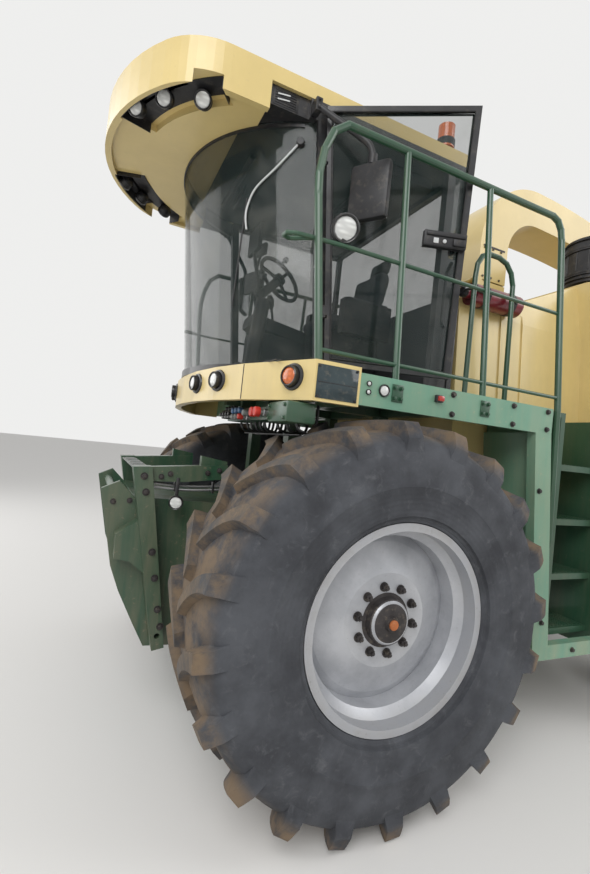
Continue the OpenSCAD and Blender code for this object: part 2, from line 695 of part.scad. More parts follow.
module beacon() color([0.85, 0.28, 0.12]) {
  z = roof_z + 156;
  translate([-640, 730, z]) cylinder(h = 45, r = 20);
  translate([-640, 730, z + 40]) cylinder(h = 60, r = 62);
  translate([-640, 730, z + 95]) cylinder(h = 110, r = 58);
}

module extinguisher() color([0.35, 0.05, 0.08]) {
  z = 2975;
  // the bottle rests against the sloping upper part of the hood's side
  y = side_at(2900) + 63;
  bar([-820, y, z], [-1250, y, z], 150);
  bar([-821, y, z], [-772, y, z], 70);
}

// Hood

hood_front = -790;
// The hood's lower front corner is cut back for the drive tyres
arch_cut = 120;
wide_x = -2080;
shoulder_z = 2985;
door_top = shoulder_z - 45;
door_foot = hood_low + 25;
sill_h = 60;
tower_r = 330;
tower_foot = 3040;
ring_z = 3250;

// Half width of the narrow part at a height, since its sides lean inwards
function side_at(z) = hood_half - (z - hood_low) * 0.055;

// Profile across the rear part: shoulders rising to a flat roof
function rear_arch(inset) = [
  [rear_half - inset, shoulder_z], [rear_half - 50 - inset, shoulder_z + 150],
    [rear_half - 210 - inset, hood_top - 70],
  [rear_half - 480, hood_top - inset], [-rear_half + 480, hood_top - inset],
    [-rear_half + 210 + inset, hood_top - 70],
  [-rear_half + 50 + inset, shoulder_z + 150], [-rear_half + inset, shoulder_z]];

module across(outline, x0, x1)
  translate([x0, 0, 0]) rotate([90, 0, 90]) linear_extrude(x1 - x0) polygon(outline);

module hood() color(cream) difference() {
  union() {
    // narrow part beside the walkway
    intersection() {
      side_plate([[hood_front - arch_cut, hood_low], [hood_front, hood_low + arch_cut], [hood_front, 2960],
        [hood_front - 60, 2995], [-1330, tower_foot],
        [wide_x + 20, hood_top - 20], [wide_x, hood_top - 20], [wide_x, hood_low]], -hood_half, hood_half);
      across([[-hood_half, hood_low], [-side_at(2900), 2900], [-side_at(hood_top) + 60, hood_top],
        [side_at(hood_top) - 60, hood_top], [side_at(2900), 2900],
        [hood_half, hood_low]], wide_x - 1, hood_front + 1);
    }
    // roof and shoulders of the wide part
    difference() {
      across(rear_arch(0), -hood_end, wide_x);
      across(concat([[rear_half - panel_t, shoulder_z - 1]], rear_arch(panel_t), [[-rear_half + panel_t,
        shoulder_z - 1]]),
        -hood_end + panel_t, wide_x - panel_t);
    }
    // front wall, rear corner posts and sills
    block([wide_x - panel_t, -rear_half, hood_low], [wide_x, rear_half, shoulder_z + 1]);
    both() {
      block([-hood_end, 920, hood_low], [-hood_end + panel_t, rear_half, shoulder_z + 1]);
      block([-hood_end, rear_half - panel_t, hood_low], [-hood_end + 110, rear_half, shoulder_z + 1]);
      block([-hood_end + 1, rear_half - 200, hood_low],
        [wide_x - 1, rear_half - panel_t - 15, hood_low + sill_h]);
    }
    block([-hood_end, -921, shoulder_z - 60], [-hood_end + panel_t, 921, shoulder_z + 1]);
    block([-hood_end, -921, hood_low], [-hood_end + panel_t, 921, hood_low + 60]);
    both() lid_lugs();
    // hinge plates and pins of the tailgate, behind the left corner post
    for (z = gate_hinges) {
      block([gate_axis[0] - 12, gate_axis[1], z], [-hood_end + 2, gate_axis[1] + 33, z + plate_t]);
      translate([gate_axis[0], gate_axis[1], z]) cylinder(h = plate_t, r = 12);
      translate([gate_axis[0], gate_axis[1], z]) cylinder(h = plate_t + 52, r = hinge_pin_r);
    }
  }
  // well of the spout's tower
  translate([-spout_x, 0, tower_foot]) cylinder(h = 600, r = tower_r + 30, $fn = 72);
  // hollow under the narrow part
  intersection() {
    side_plate([[hood_front - panel_t * 0.4 - arch_cut - panel_t, hood_low - 1],
      [hood_front - panel_t, hood_low + arch_cut + panel_t * 0.4], [hood_front - panel_t, 2930],
      [wide_x + 1, 2930],
      [wide_x + 1, hood_low - 1]], -hood_half, hood_half);
    across([[-hood_half + panel_t, hood_low - 1], [-side_at(2930) + panel_t, 2931],
      [side_at(2930) - panel_t, 2931],
      [hood_half - panel_t, hood_low - 1]], wide_x - 1, hood_front + 1);
  }
  // upright grooves of the narrow part's sides
  both() for (x = [-1180, -1270, -1400])
    translate([x, side_at(2400) - 10, 2400]) rotate([3.15, 0, 0]) block([-14, 0, -200], [14, 60, 560]);
}

// Top hinges of a side door: lugs and pins under the hood's shoulder, sleeves on the door
lid_y = rear_half + 10;
lid_z = shoulder_z - 23;
lid_at = [-4400, -3380, -2300];
module lid_lugs() for (x = lid_at) {
  for (dx = [-40, 24]) {
    block([x + dx, rear_half - 22, lid_z - 12], [x + dx + 16, lid_y + 1, shoulder_z + 2]);
    turned_lug(x + dx, 16, 12);
  }
  turned_lug(x - 30, 60, hinge_pin_r);
}
module turned_lug(x, l, r) translate([x, lid_y, lid_z]) rotate([0, 90, 0]) cylinder(h = l, r = r);

module hood_door() difference() {
  union() {
    block([-hood_end + 118, rear_half - panel_t, door_foot], [wide_x - panel_t - 8, rear_half, door_top]);
    for (x = lid_at) {
      turned_lug(x - 24 + gap, 48 - 2 * gap, 12);
      block([x - 20, rear_half - 1, lid_z - 72], [x + 20, rear_half + 7, lid_z]);
    }
  }
  for (x = lid_at) turned_lug(x - 60, 120, hinge_pin_r + run);
}

module hood_door_left() color(cream) hood_door();
module hood_door_right() color(cream) mirror([0, 1, 0]) hood_door();

gate_half = 905;
gate_foot = hood_low + 68;
gate_top = shoulder_z - 68;
gate_axis = [-hood_end - 12, gate_half + 7];
gate_hinges = [gate_foot + 170, gate_top - 230];
module tailgate() color(cream) difference() {
  union() {
    block([-hood_end, -gate_half, gate_foot], [-hood_end + panel_t, gate_half, gate_top]);
    for (z = gate_hinges) translate([gate_axis[0], gate_axis[1], z + plate_t + gap]) {
      cylinder(h = 50, r = 12);
      translate([4, -62, 0]) cube([10, 62, 50]);
    }
  }
  for (z = gate_hinges) translate([gate_axis[0], gate_axis[1], z]) cylinder(h = 90, r = hinge_pin_r + run);
  for (z = [gate_foot + 120 : 75 : gate_top - 130])
    block([-hood_end - 1, -gate_half + 90, z], [-hood_end + panel_t + 1, gate_half - 90, z + 40]);
}

module engine() color([0.3, 0.3, 0.32]) block([-4300, -420, rail_hi], [-3150, 420, 2500]);

module air_cleaner() color(black) {
  translate([-2400, 700, hood_top]) cylinder(h = 60, r = 150);
  translate([-2400, 700, hood_top + 59]) cylinder(h = 380, r = 240);
  for (z = [120, 330]) translate([-2400, 700, hood_top + z]) cylinder(h = 30, r = 252);
}

module exhaust() color(steel) difference() {
  union() {
    translate([-3900, -500, hood_top]) cylinder(h = 260, r = 80);
    translate([-3900, -500, hood_top + 255]) rotate([0, -35, 0]) cylinder(h = 140, r = 80);
  }
  translate([-3900, -500, hood_top + 260]) rotate([0, -35, 0]) cylinder(h = 141, r = 74);
}

// Spout
// The lower duct rises from the turning ring, an elbow turns it back, and a long bow carries it to the tip

hinge_z = 3470;
elbow_z = 3800;
flap_l = 350;
spout_front = -spout_x + elbow_depth / 2;
elbow_x = spout_front - elbow_r;
bow_z = elbow_z + elbow_r - bow_r;
tip_x = -spout_reach + flap_l;
tip_depth = 190;
tip_w = 300;
tip_turn = asin((elbow_x - tip_x) / bow_r);
tip_z = bow_z + bow_r * cos(tip_turn);
// The bow's underside has a wider radius, so that the duct narrows towards the tip
under_r = bow_r + 900;
under_z = elbow_z + elbow_r - elbow_depth - under_r;
ram_y = -spout_w / 2 - 52;
ram_foot = [-1960, ram_y, 3430];
ram_eye = [-1820, ram_y, 3800];
pin_r = 15;

module spout_side(inset) {
  // straight riser
  translate([spout_front - elbow_depth + inset, hinge_z + 12]) square([elbow_depth - 2 * inset,
    elbow_z - hinge_z - 11]);
  // elbow
  translate([elbow_x, elbow_z]) intersection() {
    difference() {
      circle(r = elbow_r - inset, $fn = 128);
      circle(r = elbow_r - elbow_depth + inset, $fn = 128);
    }
    translate([-0.5, -0.5]) square(elbow_r + 1);
  }
  // bow
  intersection() {
    translate([elbow_x, bow_z]) circle(r = bow_r - inset, $fn = 720);
    translate([tip_x, elbow_z - 900]) square([elbow_x - tip_x, 2000]);
    difference() {
      translate([tip_x - 1, elbow_z - 900]) square([elbow_x - tip_x + 2, 2000]);
      translate([elbow_x, under_z]) circle(r = under_r + inset, $fn = 720);
    }
  }
}

module spout_plan(inset) polygon([
  [spout_front + 1, spout_w / 2 - inset], [elbow_x, spout_w / 2 - inset], [tip_x - 1, tip_w / 2 - inset],
  [tip_x - 1, -tip_w / 2 + inset], [elbow_x, -spout_w / 2 + inset], [spout_front + 1, -spout_w / 2 + inset]]);

module spout_solid(inset) intersection() {
  translate([0, spout_w, 0]) rotate([90, 0, 0]) linear_extrude(2 * spout_w) spout_side(inset);
  translate([0, 0, 3000]) linear_extrude(2200) spout_plan(inset);
}

module spout() color(cream) {
  difference() {
    union() {
      spout_solid(0);
      both() translate([0, -spout_w / 2 + 20, 0]) side_plate([[spout_front - 60, hinge_z + 30],
        [spout_front + 20, hinge_z + 60], [spout_front + 46, hinge_z], [spout_front + 25, hinge_z - 19],
        [spout_front + 8, hinge_z - 8], [spout_front + 4, hinge_z + 13],
        [spout_front - 40, hinge_z + 14]], 0, 20);
    }
    spout_solid(spout_t);
    translate([0, 0, -20]) intersection() {
      spout_solid(spout_t);
      block([-2100, -300, 3300], [-1000, 300, 3600]);
    }
    translate([spout_front + 25, -spout_w, hinge_z]) rotate([-90, 0, 0]) cylinder(h = 2 * spout_w,
      r = pin_r + run);
  }
  translate(ram_eye) rotate([90, 0, 0]) translate([0, 0, -46]) cylinder(h = 70, r = pin_r);
  translate(ram_eye + [0, 28, 0]) rotate([-90, 0, 0]) cylinder(h = 25, r = 34);
  // lugs and pin of the flap's hinge, on top of the duct's end
  translate([tip_x, 0, tip_z]) rotate([0, -tip_turn, 0]) {
    for (y = flap_lugs) {
      block([flap_axis[0], y, -3], [45, y + 20, flap_axis[1] + 9]);
      flap_barrel(y, 20, 9);
    }
    flap_barrel(flap_lugs[0], flap_lugs[2] - flap_lugs[0] + 20, flap_pin_r);
  }
}

// Axis of the flap, behind and above the duct's end, in the slope's own frame
flap_axis = [-22, 6];
flap_pin_r = 5;
flap_lugs = [-120, -10, 100];
module flap_barrel(y, l, r) translate([flap_axis[0], y, flap_axis[1]]) rotate([-90, 0, 0]) cylinder(h = l,
  r = r);

module spout_tower() color(cream) translate([-spout_x, 0, tower_foot]) difference() {
  cylinder(h = ring_z - tower_foot, r = tower_r, $fn = 72);
  translate([0, 0, -1]) cylinder(h = 400, r = tower_r - 30, $fn = 72);
}

module spout_turret() color(cream) {
  difference() {
    union() {
      translate([-spout_x, 0, ring_z + gap]) cylinder(h = 40, r = tower_r + 10, $fn = 72);
      block([-spout_x - elbow_depth / 2, -spout_w / 2, ring_z + 39],
        [-spout_x + elbow_depth / 2, spout_w / 2, hinge_z]);
    }
    translate([0, 0, -1]) block([-spout_x - elbow_depth / 2 + spout_t, -spout_w / 2 + spout_t, ring_z],
      [-spout_x + elbow_depth / 2 - spout_t, spout_w / 2 - spout_t, hinge_z + 2]);
  }
  // ears of the lift hinge, outside the spout's own
  both() difference() {
    side_plate([[spout_front - 20, ring_z + 41], [spout_front + 60, hinge_z - 40],
      [spout_front + 60, hinge_z + 30],
      [spout_front, hinge_z + 30], [spout_front - 60, hinge_z - 40], [spout_front - 100, ring_z + 41]],
      spout_w / 2 + 8, spout_w / 2 + 24);
    translate([spout_front + 25, 0, hinge_z]) rotate([-90, 0, 0]) cylinder(h = spout_w, r = pin_r - 1);
  }
  both() block([spout_front - 100, spout_w / 2 - 1, ring_z + 41],
    [spout_front - 40, spout_w / 2 + 9, hinge_z - 60]);
  translate([spout_front + 25, -spout_w / 2 - 24, hinge_z]) rotate([-90, 0, 0]) cylinder(h = spout_w + 48,
    r = pin_r);
  // foot of the lift ram
  translate(ram_foot + [0, 45, 0]) rotate([90, 0, 0]) cylinder(h = 75, r = pin_r);
  side_plate([[ram_foot[0] - 32, ram_foot[2] - 30], [ram_foot[0] + 120, ram_foot[2] - 32],
    [ram_foot[0] + 120, hinge_z],
    [ram_foot[0] + 40, hinge_z], [ram_foot[0] - 32, ram_foot[2] + 30]], ram_y + 37, -spout_w / 2 + 1);
}

module spout_flap() color(cream) translate([tip_x, 0, tip_z]) rotate([0, -tip_turn, 0]) {
  far = flap_l / cos(tip_turn);
  half = tip_w / 2 + 10;
  difference() {
    union() {
      block([-far, -half - 8, -spout_t], [flap_axis[0] - 6, half + 8, 0]);
      for (i = [0, 1]) flap_barrel(flap_lugs[i] + 20 + gap, flap_lugs[i + 1] - flap_lugs[i] - 20 - 2 * gap, 9);
    }
    flap_barrel(-half - 20, 2 * half + 40, flap_pin_r + run);
    for (y = flap_lugs) flap_barrel(y - 5, 30, 14);
  }
  // cheeks, outside the duct's walls
  both() side_plate([[-far, -spout_t], [-30, -spout_t], [-46, -tip_depth + 20],
    [20 - far, -132]], half, half + 8);
}

ram_dir = (ram_eye - ram_foot) / norm(ram_eye - ram_foot);
ram_len = norm(ram_eye - ram_foot);
module ram_eye_ring(at, bore) difference() {
  children();
  translate(at) rotate([90, 0, 0]) cylinder(h = 100, r = bore, center = true);
}

module spout_ram() color(black) ram_eye_ring(ram_foot, pin_r + run) {
  translate(ram_foot) rotate([90, 0, 0]) cylinder(h = 40, r = 34, center = true);
  difference() {
    bar(ram_foot + 26 * ram_dir, ram_foot + (ram_len - 70) * ram_dir, 64);
    bar(ram_foot + 60 * ram_dir, ram_foot + (ram_len - 60) * ram_dir, 36 + 2 * run);
  }
}

module spout_ram_rod() color(steel) ram_eye_ring(ram_eye, pin_r + 6) {
  translate(ram_eye) rotate([90, 0, 0]) cylinder(h = 36, r = 34, center = true);
  bar(ram_foot + 70 * ram_dir, ram_eye - 25 * ram_dir, 36);
}

module place() translate([mid_x, 0, 0]) children();
module right() place() mirror([0, 1, 0]) children();

place() chassis();
place() front_axle();
place() feed_housing();
place() upper_feed_roller();
place() lower_feed_roller();
place() chopper_housing();
place() color(steel) front_rim();  // front_rim_left
place() color(tyre_grey) front_tyre();  // front_tyre_left
right() color(steel) front_rim();  // front_rim_right
right() color(tyre_grey) front_tyre();  // front_tyre_right
place() rear_axle();
place() knuckle();  // knuckle_left
right() knuckle();  // knuckle_right
place() tie_rod();
place() color(steel) rear_rim();  // rear_rim_left
place() color(tyre_grey) rear_tyre();  // rear_tyre_left
right() color(steel) rear_rim();  // rear_rim_right
right() color(tyre_grey) rear_tyre();  // rear_tyre_right
place() cab_frame();
place() cab_roof();
place() windscreen();
place() cab_windows();
place() door_frame();
place() door_glass();
place() seat();
place() seat_base();
place() steering_column();
place() steering_wheel();
place() bumper();
place() front_lamps();
place() coupler_block();
place() platform();  // platform_left
right() platform();  // platform_right
place() rail_left();
place() rail_right();
place() rail_arch();
place() ladder();
place() work_lamps();
place() mirrors();
place() beacon();
place() extinguisher();
place() hood();
place() hood_door_left();
place() hood_door_right();
place() tailgate();
place() engine();
place() air_cleaner();
place() exhaust();
place() spout_tower();
place() spout_turret();
place() spout();
place() spout_flap();
place() spout_ram();
place() spout_ram_rod();
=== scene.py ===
"""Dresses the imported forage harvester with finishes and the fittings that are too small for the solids.

Places are in millimetres from the middle of the drive axle, x forward, y to the machine's left and
z up from the ground. Profiles, radii and edges are in metres.
"""

import math

import bmesh
import bpy
from mathutils import Matrix, Vector


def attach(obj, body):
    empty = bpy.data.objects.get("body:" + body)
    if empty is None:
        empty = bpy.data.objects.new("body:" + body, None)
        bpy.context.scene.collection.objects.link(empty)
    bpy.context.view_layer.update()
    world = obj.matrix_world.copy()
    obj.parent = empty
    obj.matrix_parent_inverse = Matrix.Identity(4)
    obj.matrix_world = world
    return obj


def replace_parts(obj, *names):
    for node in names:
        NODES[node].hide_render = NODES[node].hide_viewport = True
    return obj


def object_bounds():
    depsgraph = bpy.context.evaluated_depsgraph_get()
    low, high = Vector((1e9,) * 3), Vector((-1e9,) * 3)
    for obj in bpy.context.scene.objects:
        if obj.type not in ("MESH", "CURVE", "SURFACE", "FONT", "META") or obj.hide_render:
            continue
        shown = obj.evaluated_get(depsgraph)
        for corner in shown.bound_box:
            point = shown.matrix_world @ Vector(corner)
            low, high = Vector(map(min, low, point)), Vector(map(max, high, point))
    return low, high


bl_info = {
    "name": "Forage harvester dressing",
    "version": (1, 0, 0),
    "blender": (4, 5, 0),
    "location": "3D View > Sidebar > Harvester",
    "description": "Finishes, lamps, cab fittings, hoses and trim of a forage harvester",
    "category": "Object",
}

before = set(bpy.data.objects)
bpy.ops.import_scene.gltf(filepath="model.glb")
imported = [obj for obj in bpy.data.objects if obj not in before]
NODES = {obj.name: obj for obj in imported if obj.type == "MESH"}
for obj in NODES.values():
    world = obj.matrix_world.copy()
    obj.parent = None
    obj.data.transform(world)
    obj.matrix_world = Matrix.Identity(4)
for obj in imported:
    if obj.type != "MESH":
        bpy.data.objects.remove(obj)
CAD_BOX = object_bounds()

# The drive axle lies this far ahead of the frame's origin, in metres
AXLE_X = CAD_BOX[1].x - 1.54

SIDES = (("left", 1), ("right", -1))
X, Y, Z = (1, 0, 0), (0, 1, 0), (0, 0, 1)
DRIVE_HUB = (0, 1222, 1000)
STEER_HUB = (-3150, 1220, 740)
# Top of the cab's floor
FLOOR_Z = 2280
# The windscreen and the door's hinge lean forward by this angle
LEAN = math.radians(6)
LEAN_AXIS = Vector((math.sin(LEAN), 0, math.cos(LEAN)))
DOOR_HINGE = (235, 922, FLOOR_Z)
DOOR_REST = math.radians(20.5)
# Outer faces of the platforms and of the hood's side doors
EDGE_Y = 1384
LID_Y = 1350
MIRROR = (170, 1130, 3255)
MIRROR_TURN = math.radians(34)
CLEANER = (-2400, 700, 3380)
# Axis of the extinguisher, which rests against the sloping side of the hood
BOTTLE_Y = 930 - (2900 - 1580) * 0.055 + 63
BOTTLE_Z = 2975
VISOR_X = 360
LAMP_Z = 3685
# Angle round the visor, distance from its centre, and the lamp's aim: angle outwards and dip
VISOR_LAMPS = ((23.5, 1108, 52, -24), (34.5, 1072, 60, -26), (46, 995, 68, -28))

MATERIALS = {}
# Slots of the finishes that are not plastic
SLOTS = {
    **dict.fromkeys(("bolt", "rust", "dark_green", "bare_steel", "pale_metal"), "steel"),
    **dict.fromkeys(("white_lens", "amber_lens", "red_lens"), "lens")}


def spot(x, y, z):
    """A place, in millimetres, as a point of the frame."""
    return Vector((x / 1000 + AXLE_X, y / 1000, z / 1000))


# The windscreen's axis, turned and set back from the drive axle
SCREEN = (Matrix.Translation(spot(0, 0, FLOOR_Z)) @ Matrix.Rotation(LEAN, 4, "Y")
          @ Matrix.Translation((-0.1, 0, 0)))


class Wire:
    """An output socket of a shader tree; arithmetic on it adds Math nodes."""

    def __init__(self, tree, socket):
        self.tree = tree
        self.socket = socket

    def math(self, operation, *others, clamp=False):
        return self.tree.node(
            "ShaderNodeMath", {"operation": operation, "use_clamp": clamp},
            dict(enumerate((self, *others))))

    def __add__(self, other):
        return self.math("ADD", other)

    def __radd__(self, other):
        return self.math("ADD", other)

    def __rsub__(self, other):
        return self.tree.node("ShaderNodeMath", {"operation": "SUBTRACT"}, {0: other, 1: self})

    def __mul__(self, other):
        return self.math("MULTIPLY", other)

    def within(self, low, high):
        """0 below low, 1 above high, smooth between."""
        return self.tree.node(
            "ShaderNodeMapRange", {"interpolation_type": "SMOOTHSTEP", "clamp": True},
            {"Value": self, "From Min": low, "From Max": high})

    def wave(self):
        """A sine between 0 and 1."""
        return self.math("SINE") * 0.5 + 0.5


class Tree:
    """A node tree that is written as expressions."""

    def __init__(self, owner):
        owner.use_nodes = True
        self.nodes = owner.node_tree.nodes
        self.links = owner.node_tree.links

    def node(self, kind, settings=None, sockets=None, out=0):
        made = self.nodes.new(kind)
        for key, value in (settings or {}).items():
            setattr(made, key, value)
        for key, value in (sockets or {}).items():
            self.feed(made.inputs[key], value)
        return Wire(self, made.outputs[out])

    def feed(self, socket, value):
        if isinstance(value, Wire):
            self.links.new(value.socket, socket)
        elif isinstance(value, tuple) and len(value) == 3 and socket.type == "RGBA":
            socket.default_value = (*value, 1)
        else:
            socket.default_value = value


class Paint(Tree):
    """A material with one shader."""

    def __init__(self, name, roughness=0.5, metallic=0.0, coat=0.0, alpha=1.0, ior=1.45, coat_roughness=0.1):
        self.material = bpy.data.materials.new(name)
        super().__init__(self.material)
        self.inputs = self.nodes["Principled BSDF"].inputs
        for key, value in (("Roughness", roughness), ("Metallic", metallic), ("Coat Weight", coat),
                           ("Coat Roughness", coat_roughness), ("Alpha", alpha), ("IOR", ior)):
            self.inputs[key].default_value = value
        MATERIALS[name] = self.material

    def place(self, centre=(0, 0, 0), scale=(1, 1, 1)):
        """Object coordinates, measured from a centre."""
        return self.node("ShaderNodeMapping", {"vector_type": "TEXTURE"}, {
            "Vector": self.node("ShaderNodeTexCoord", out=3),
            "Location": centre, "Scale": tuple(1 / s for s in scale)})

    def noise(self, scale, detail=4.0, rough=0.55, where=None, distortion=0.0):
        return self.node("ShaderNodeTexNoise", {}, {
            "Vector": where or self.place(), "Scale": scale, "Detail": detail,
            "Roughness": rough, "Distortion": distortion})

    def split(self, vector):
        first = self.node("ShaderNodeSeparateXYZ", {}, {0: vector})
        return [Wire(self, o) for o in first.socket.node.outputs]

    def blend(self, amount, first, second):
        made = self.nodes.new("ShaderNodeMix")
        made.data_type = "RGBA"
        for key, value in (("Factor", amount), (6, first), (7, second)):
            self.feed(made.inputs[key], value)
        return Wire(self, made.outputs[2])

    def radius(self, centre):
        """Distance from a wheel's axis."""
        x, y, z = self.split(self.place(spot(*centre)))
        return (x * x + z * z).math("SQRT")

    def colour(self, value):
        self.feed(self.inputs["Base Color"], value)

    def rough(self, value):
        self.feed(self.inputs["Roughness"], value)

    def bump(self, height, strength=0.3, distance=0.002):
        self.feed(self.inputs["Normal"], self.node(
            "ShaderNodeBump", {}, {"Strength": strength, "Distance": distance, "Height": height}))


def shade(colour, factor, lift=0.0):
    """A colour made lighter or darker."""
    return tuple(min(1, c * factor + lift) for c in colour)


def lacquer(name, colour, dust=(0.42, 0.34, 0.22), grime=0.35, low=0.0):
    """Sprayed machine paint, sun-bleached and dusty, dirtier towards the ground."""
    p = Paint(name, coat=0.35, coat_roughness=0.18)
    broad = p.noise(1.3, 5, 0.6)
    fine = p.noise(38, 3, 0.6)
    base = p.blend(broad.within(0.35, 0.7), colour, shade(colour, 1.12, 0.015))
    z = p.split(p.place())[2]
    film = (1 - z.within(low + 0.2, low + 2.6)) * 0.6 + broad * 0.5
    streaks = p.noise(7, 4, 0.7, p.place(scale=(1, 1, 0.12)))
    film = (film * streaks.within(0.3, 0.75)) * grime
    specks = fine.within(0.62, 0.74) * grime * 0.5
    p.colour(p.blend(film.math("ADD", specks, clamp=True), base, dust))
    p.rough(0.32 + film * 0.5 + fine * 0.06)
    p.bump(p.noise(420, 2, 0.5), 0.05, 0.0006)


def rubber(name, centre, inner, outer):
    """Tyre rubber: grey sidewall with faint rings, soil on the tread."""
    p = Paint(name, roughness=0.86)
    radius = p.radius(centre)
    broad = p.noise(3.2, 6, 0.62)
    fine = p.noise(55, 4, 0.65)
    scuff = p.noise(14, 5, 0.7, distortion=0.6)
    base = p.blend(broad.within(0.3, 0.72), (0.034, 0.036, 0.042), (0.078, 0.083, 0.094))
    base = p.blend(scuff.within(0.52, 0.8) * 0.5, base, (0.145, 0.15, 0.16))
    soil = (radius.within(outer - 0.11, outer - 0.035) * p.noise(5.5, 5, 0.7).within(0.34, 0.62)) * 0.85
    base = p.blend(soil, base, (0.2, 0.14, 0.085))
    worn = (radius.within(outer - 0.02, outer - 0.004) * fine.within(0.3, 0.6)) * 0.55
    p.colour(p.blend(worn, base, (0.085, 0.078, 0.07)))
    rings = (radius * 260).wave() * (
        radius.within(inner + 0.03, inner + 0.05) * (1 - radius.within(inner + 0.14, inner + 0.17)))
    p.bump(fine * 0.5 + rings * 0.35 + scuff * 0.35, 0.5, 0.004)
    p.rough(0.78 + fine * 0.18)


def alloy(name, centre, flange):
    """Silver wheel paint with dust in the dish and dirt at the flange."""
    p = Paint(name, roughness=0.42, metallic=0.35, coat=0.2, coat_roughness=0.3)
    radius = p.radius(centre)
    broad = p.noise(4.5, 5, 0.65)
    fine = p.noise(70, 3, 0.6)
    base = p.blend(broad.within(0.3, 0.7), (0.37, 0.38, 0.405), (0.5, 0.51, 0.535))
    dirt = radius.within(flange - 0.09, flange - 0.01) * 0.45 + (1 - radius.within(0.1, 0.3)) * 0.25
    film = dirt * broad.within(0.35, 0.65) + fine.within(0.6, 0.75) * 0.25
    p.colour(p.blend(film, base, (0.2, 0.185, 0.165)))
    p.rough(0.36 + film * 0.4 + fine * 0.06)
    p.bump(fine, 0.06, 0.001)


def plain(name, colour, roughness=0.5, metallic=0.0, grain=120, depth=0.15, vary=0.25, coat=0.0, dusty=0.12):
    """Moulded plastic, rubber, bare or painted small metal."""
    p = Paint(name, roughness=roughness, metallic=metallic, coat=coat)
    broad = p.noise(9, 4, 0.6)
    fine = p.noise(grain, 3, 0.6)
    base = p.blend(broad.within(0.3, 0.7), shade(colour, 1 - vary), shade(colour, 1 + vary))
    p.colour(p.blend(p.noise(23, 4, 0.7).within(0.5, 0.75) * dusty, base, (0.36, 0.3, 0.22)))
    p.rough(roughness - 0.06 + fine * 0.14)
    p.bump(fine, depth, 0.0008)


def pane(name, colour, alpha, haze=0.22):
    """Tinted glass with a thin, uneven film of dust."""
    p = Paint(name, roughness=0.04, alpha=alpha, ior=1.5)
    film = p.noise(3.1, 4, 0.6).within(0.42, 0.8) * haze
    p.colour(p.blend(film, colour, (0.5, 0.48, 0.42)))
    p.feed(p.inputs["Alpha"], film * 0.5 + alpha)
    p.rough(0.03 + film * 0.7)


def lens(name, colour):
    """Lamp glass with moulded ribs; its colour is painted darker in the grooves between the ribs, as painted
    shade.
    """
    p = Paint(name, roughness=0.12, coat=0.8, coat_roughness=0.03)
    x, y, z = p.split(p.place())
    ribs = (y * 260).wave() * (z * 260).wave()
    # Painted shade: the glass is drawn darker in the grooves between the ribs and at full colour on their
    # crests
    p.colour(p.blend(ribs, shade(colour, 0.72), colour))
    p.bump(ribs, 0.35, 0.002)


def cloth(name, colour):
    """Woven seat cloth."""
    p = Paint(name, roughness=0.92)
    x, y, z = ((c * 1500).math("SINE") for c in p.split(p.place()))
    weave = (x * y + z * 0.5) * 0.5 + 0.5
    broad = p.noise(6, 4, 0.6)
    p.colour(p.blend((weave * 0.2 + broad * 0.8).within(0.25, 0.8), shade(colour, 0.8), shade(colour, 1.25)))
    p.bump(weave, 0.1, 0.0006)


def colour_property(name, description, default):
    return bpy.props.FloatVectorProperty(
        name=name, description=description, subtype="COLOR", default=default, min=0, max=1)


class Finishes(bpy.types.PropertyGroup):
    cream: colour_property("Cream", "Paint of the roof, the hood and the bumper", (0.63, 0.49, 0.2))
    light_green: colour_property("Light green", "Paint of the platforms", (0.115, 0.27, 0.185))
    dark_green: colour_property("Dark green", "Paint of the frame and the rails", (0.013, 0.062, 0.03))


class Stage(bpy.types.PropertyGroup):
    focal: bpy.props.FloatProperty(
        name="Focal length", description="Focal length of the camera, in millimetres", default=18.909, min=10)
    ground: colour_property("Floor", "Colour of the floor", (0.8, 0.79, 0.77))


def facing(direction):
    """Rotation that turns +Z to a direction."""
    return Vector(direction).to_track_quat("Z", "Y").to_matrix().to_4x4()


def around(middle, radius, k, count, z):
    """The k-th of a number of places on a circle, at a height above its middle, all in millimetres."""
    a = math.tau * k / count
    return middle[0] + radius * math.cos(a), middle[1] + radius * math.sin(a), middle[2] + z


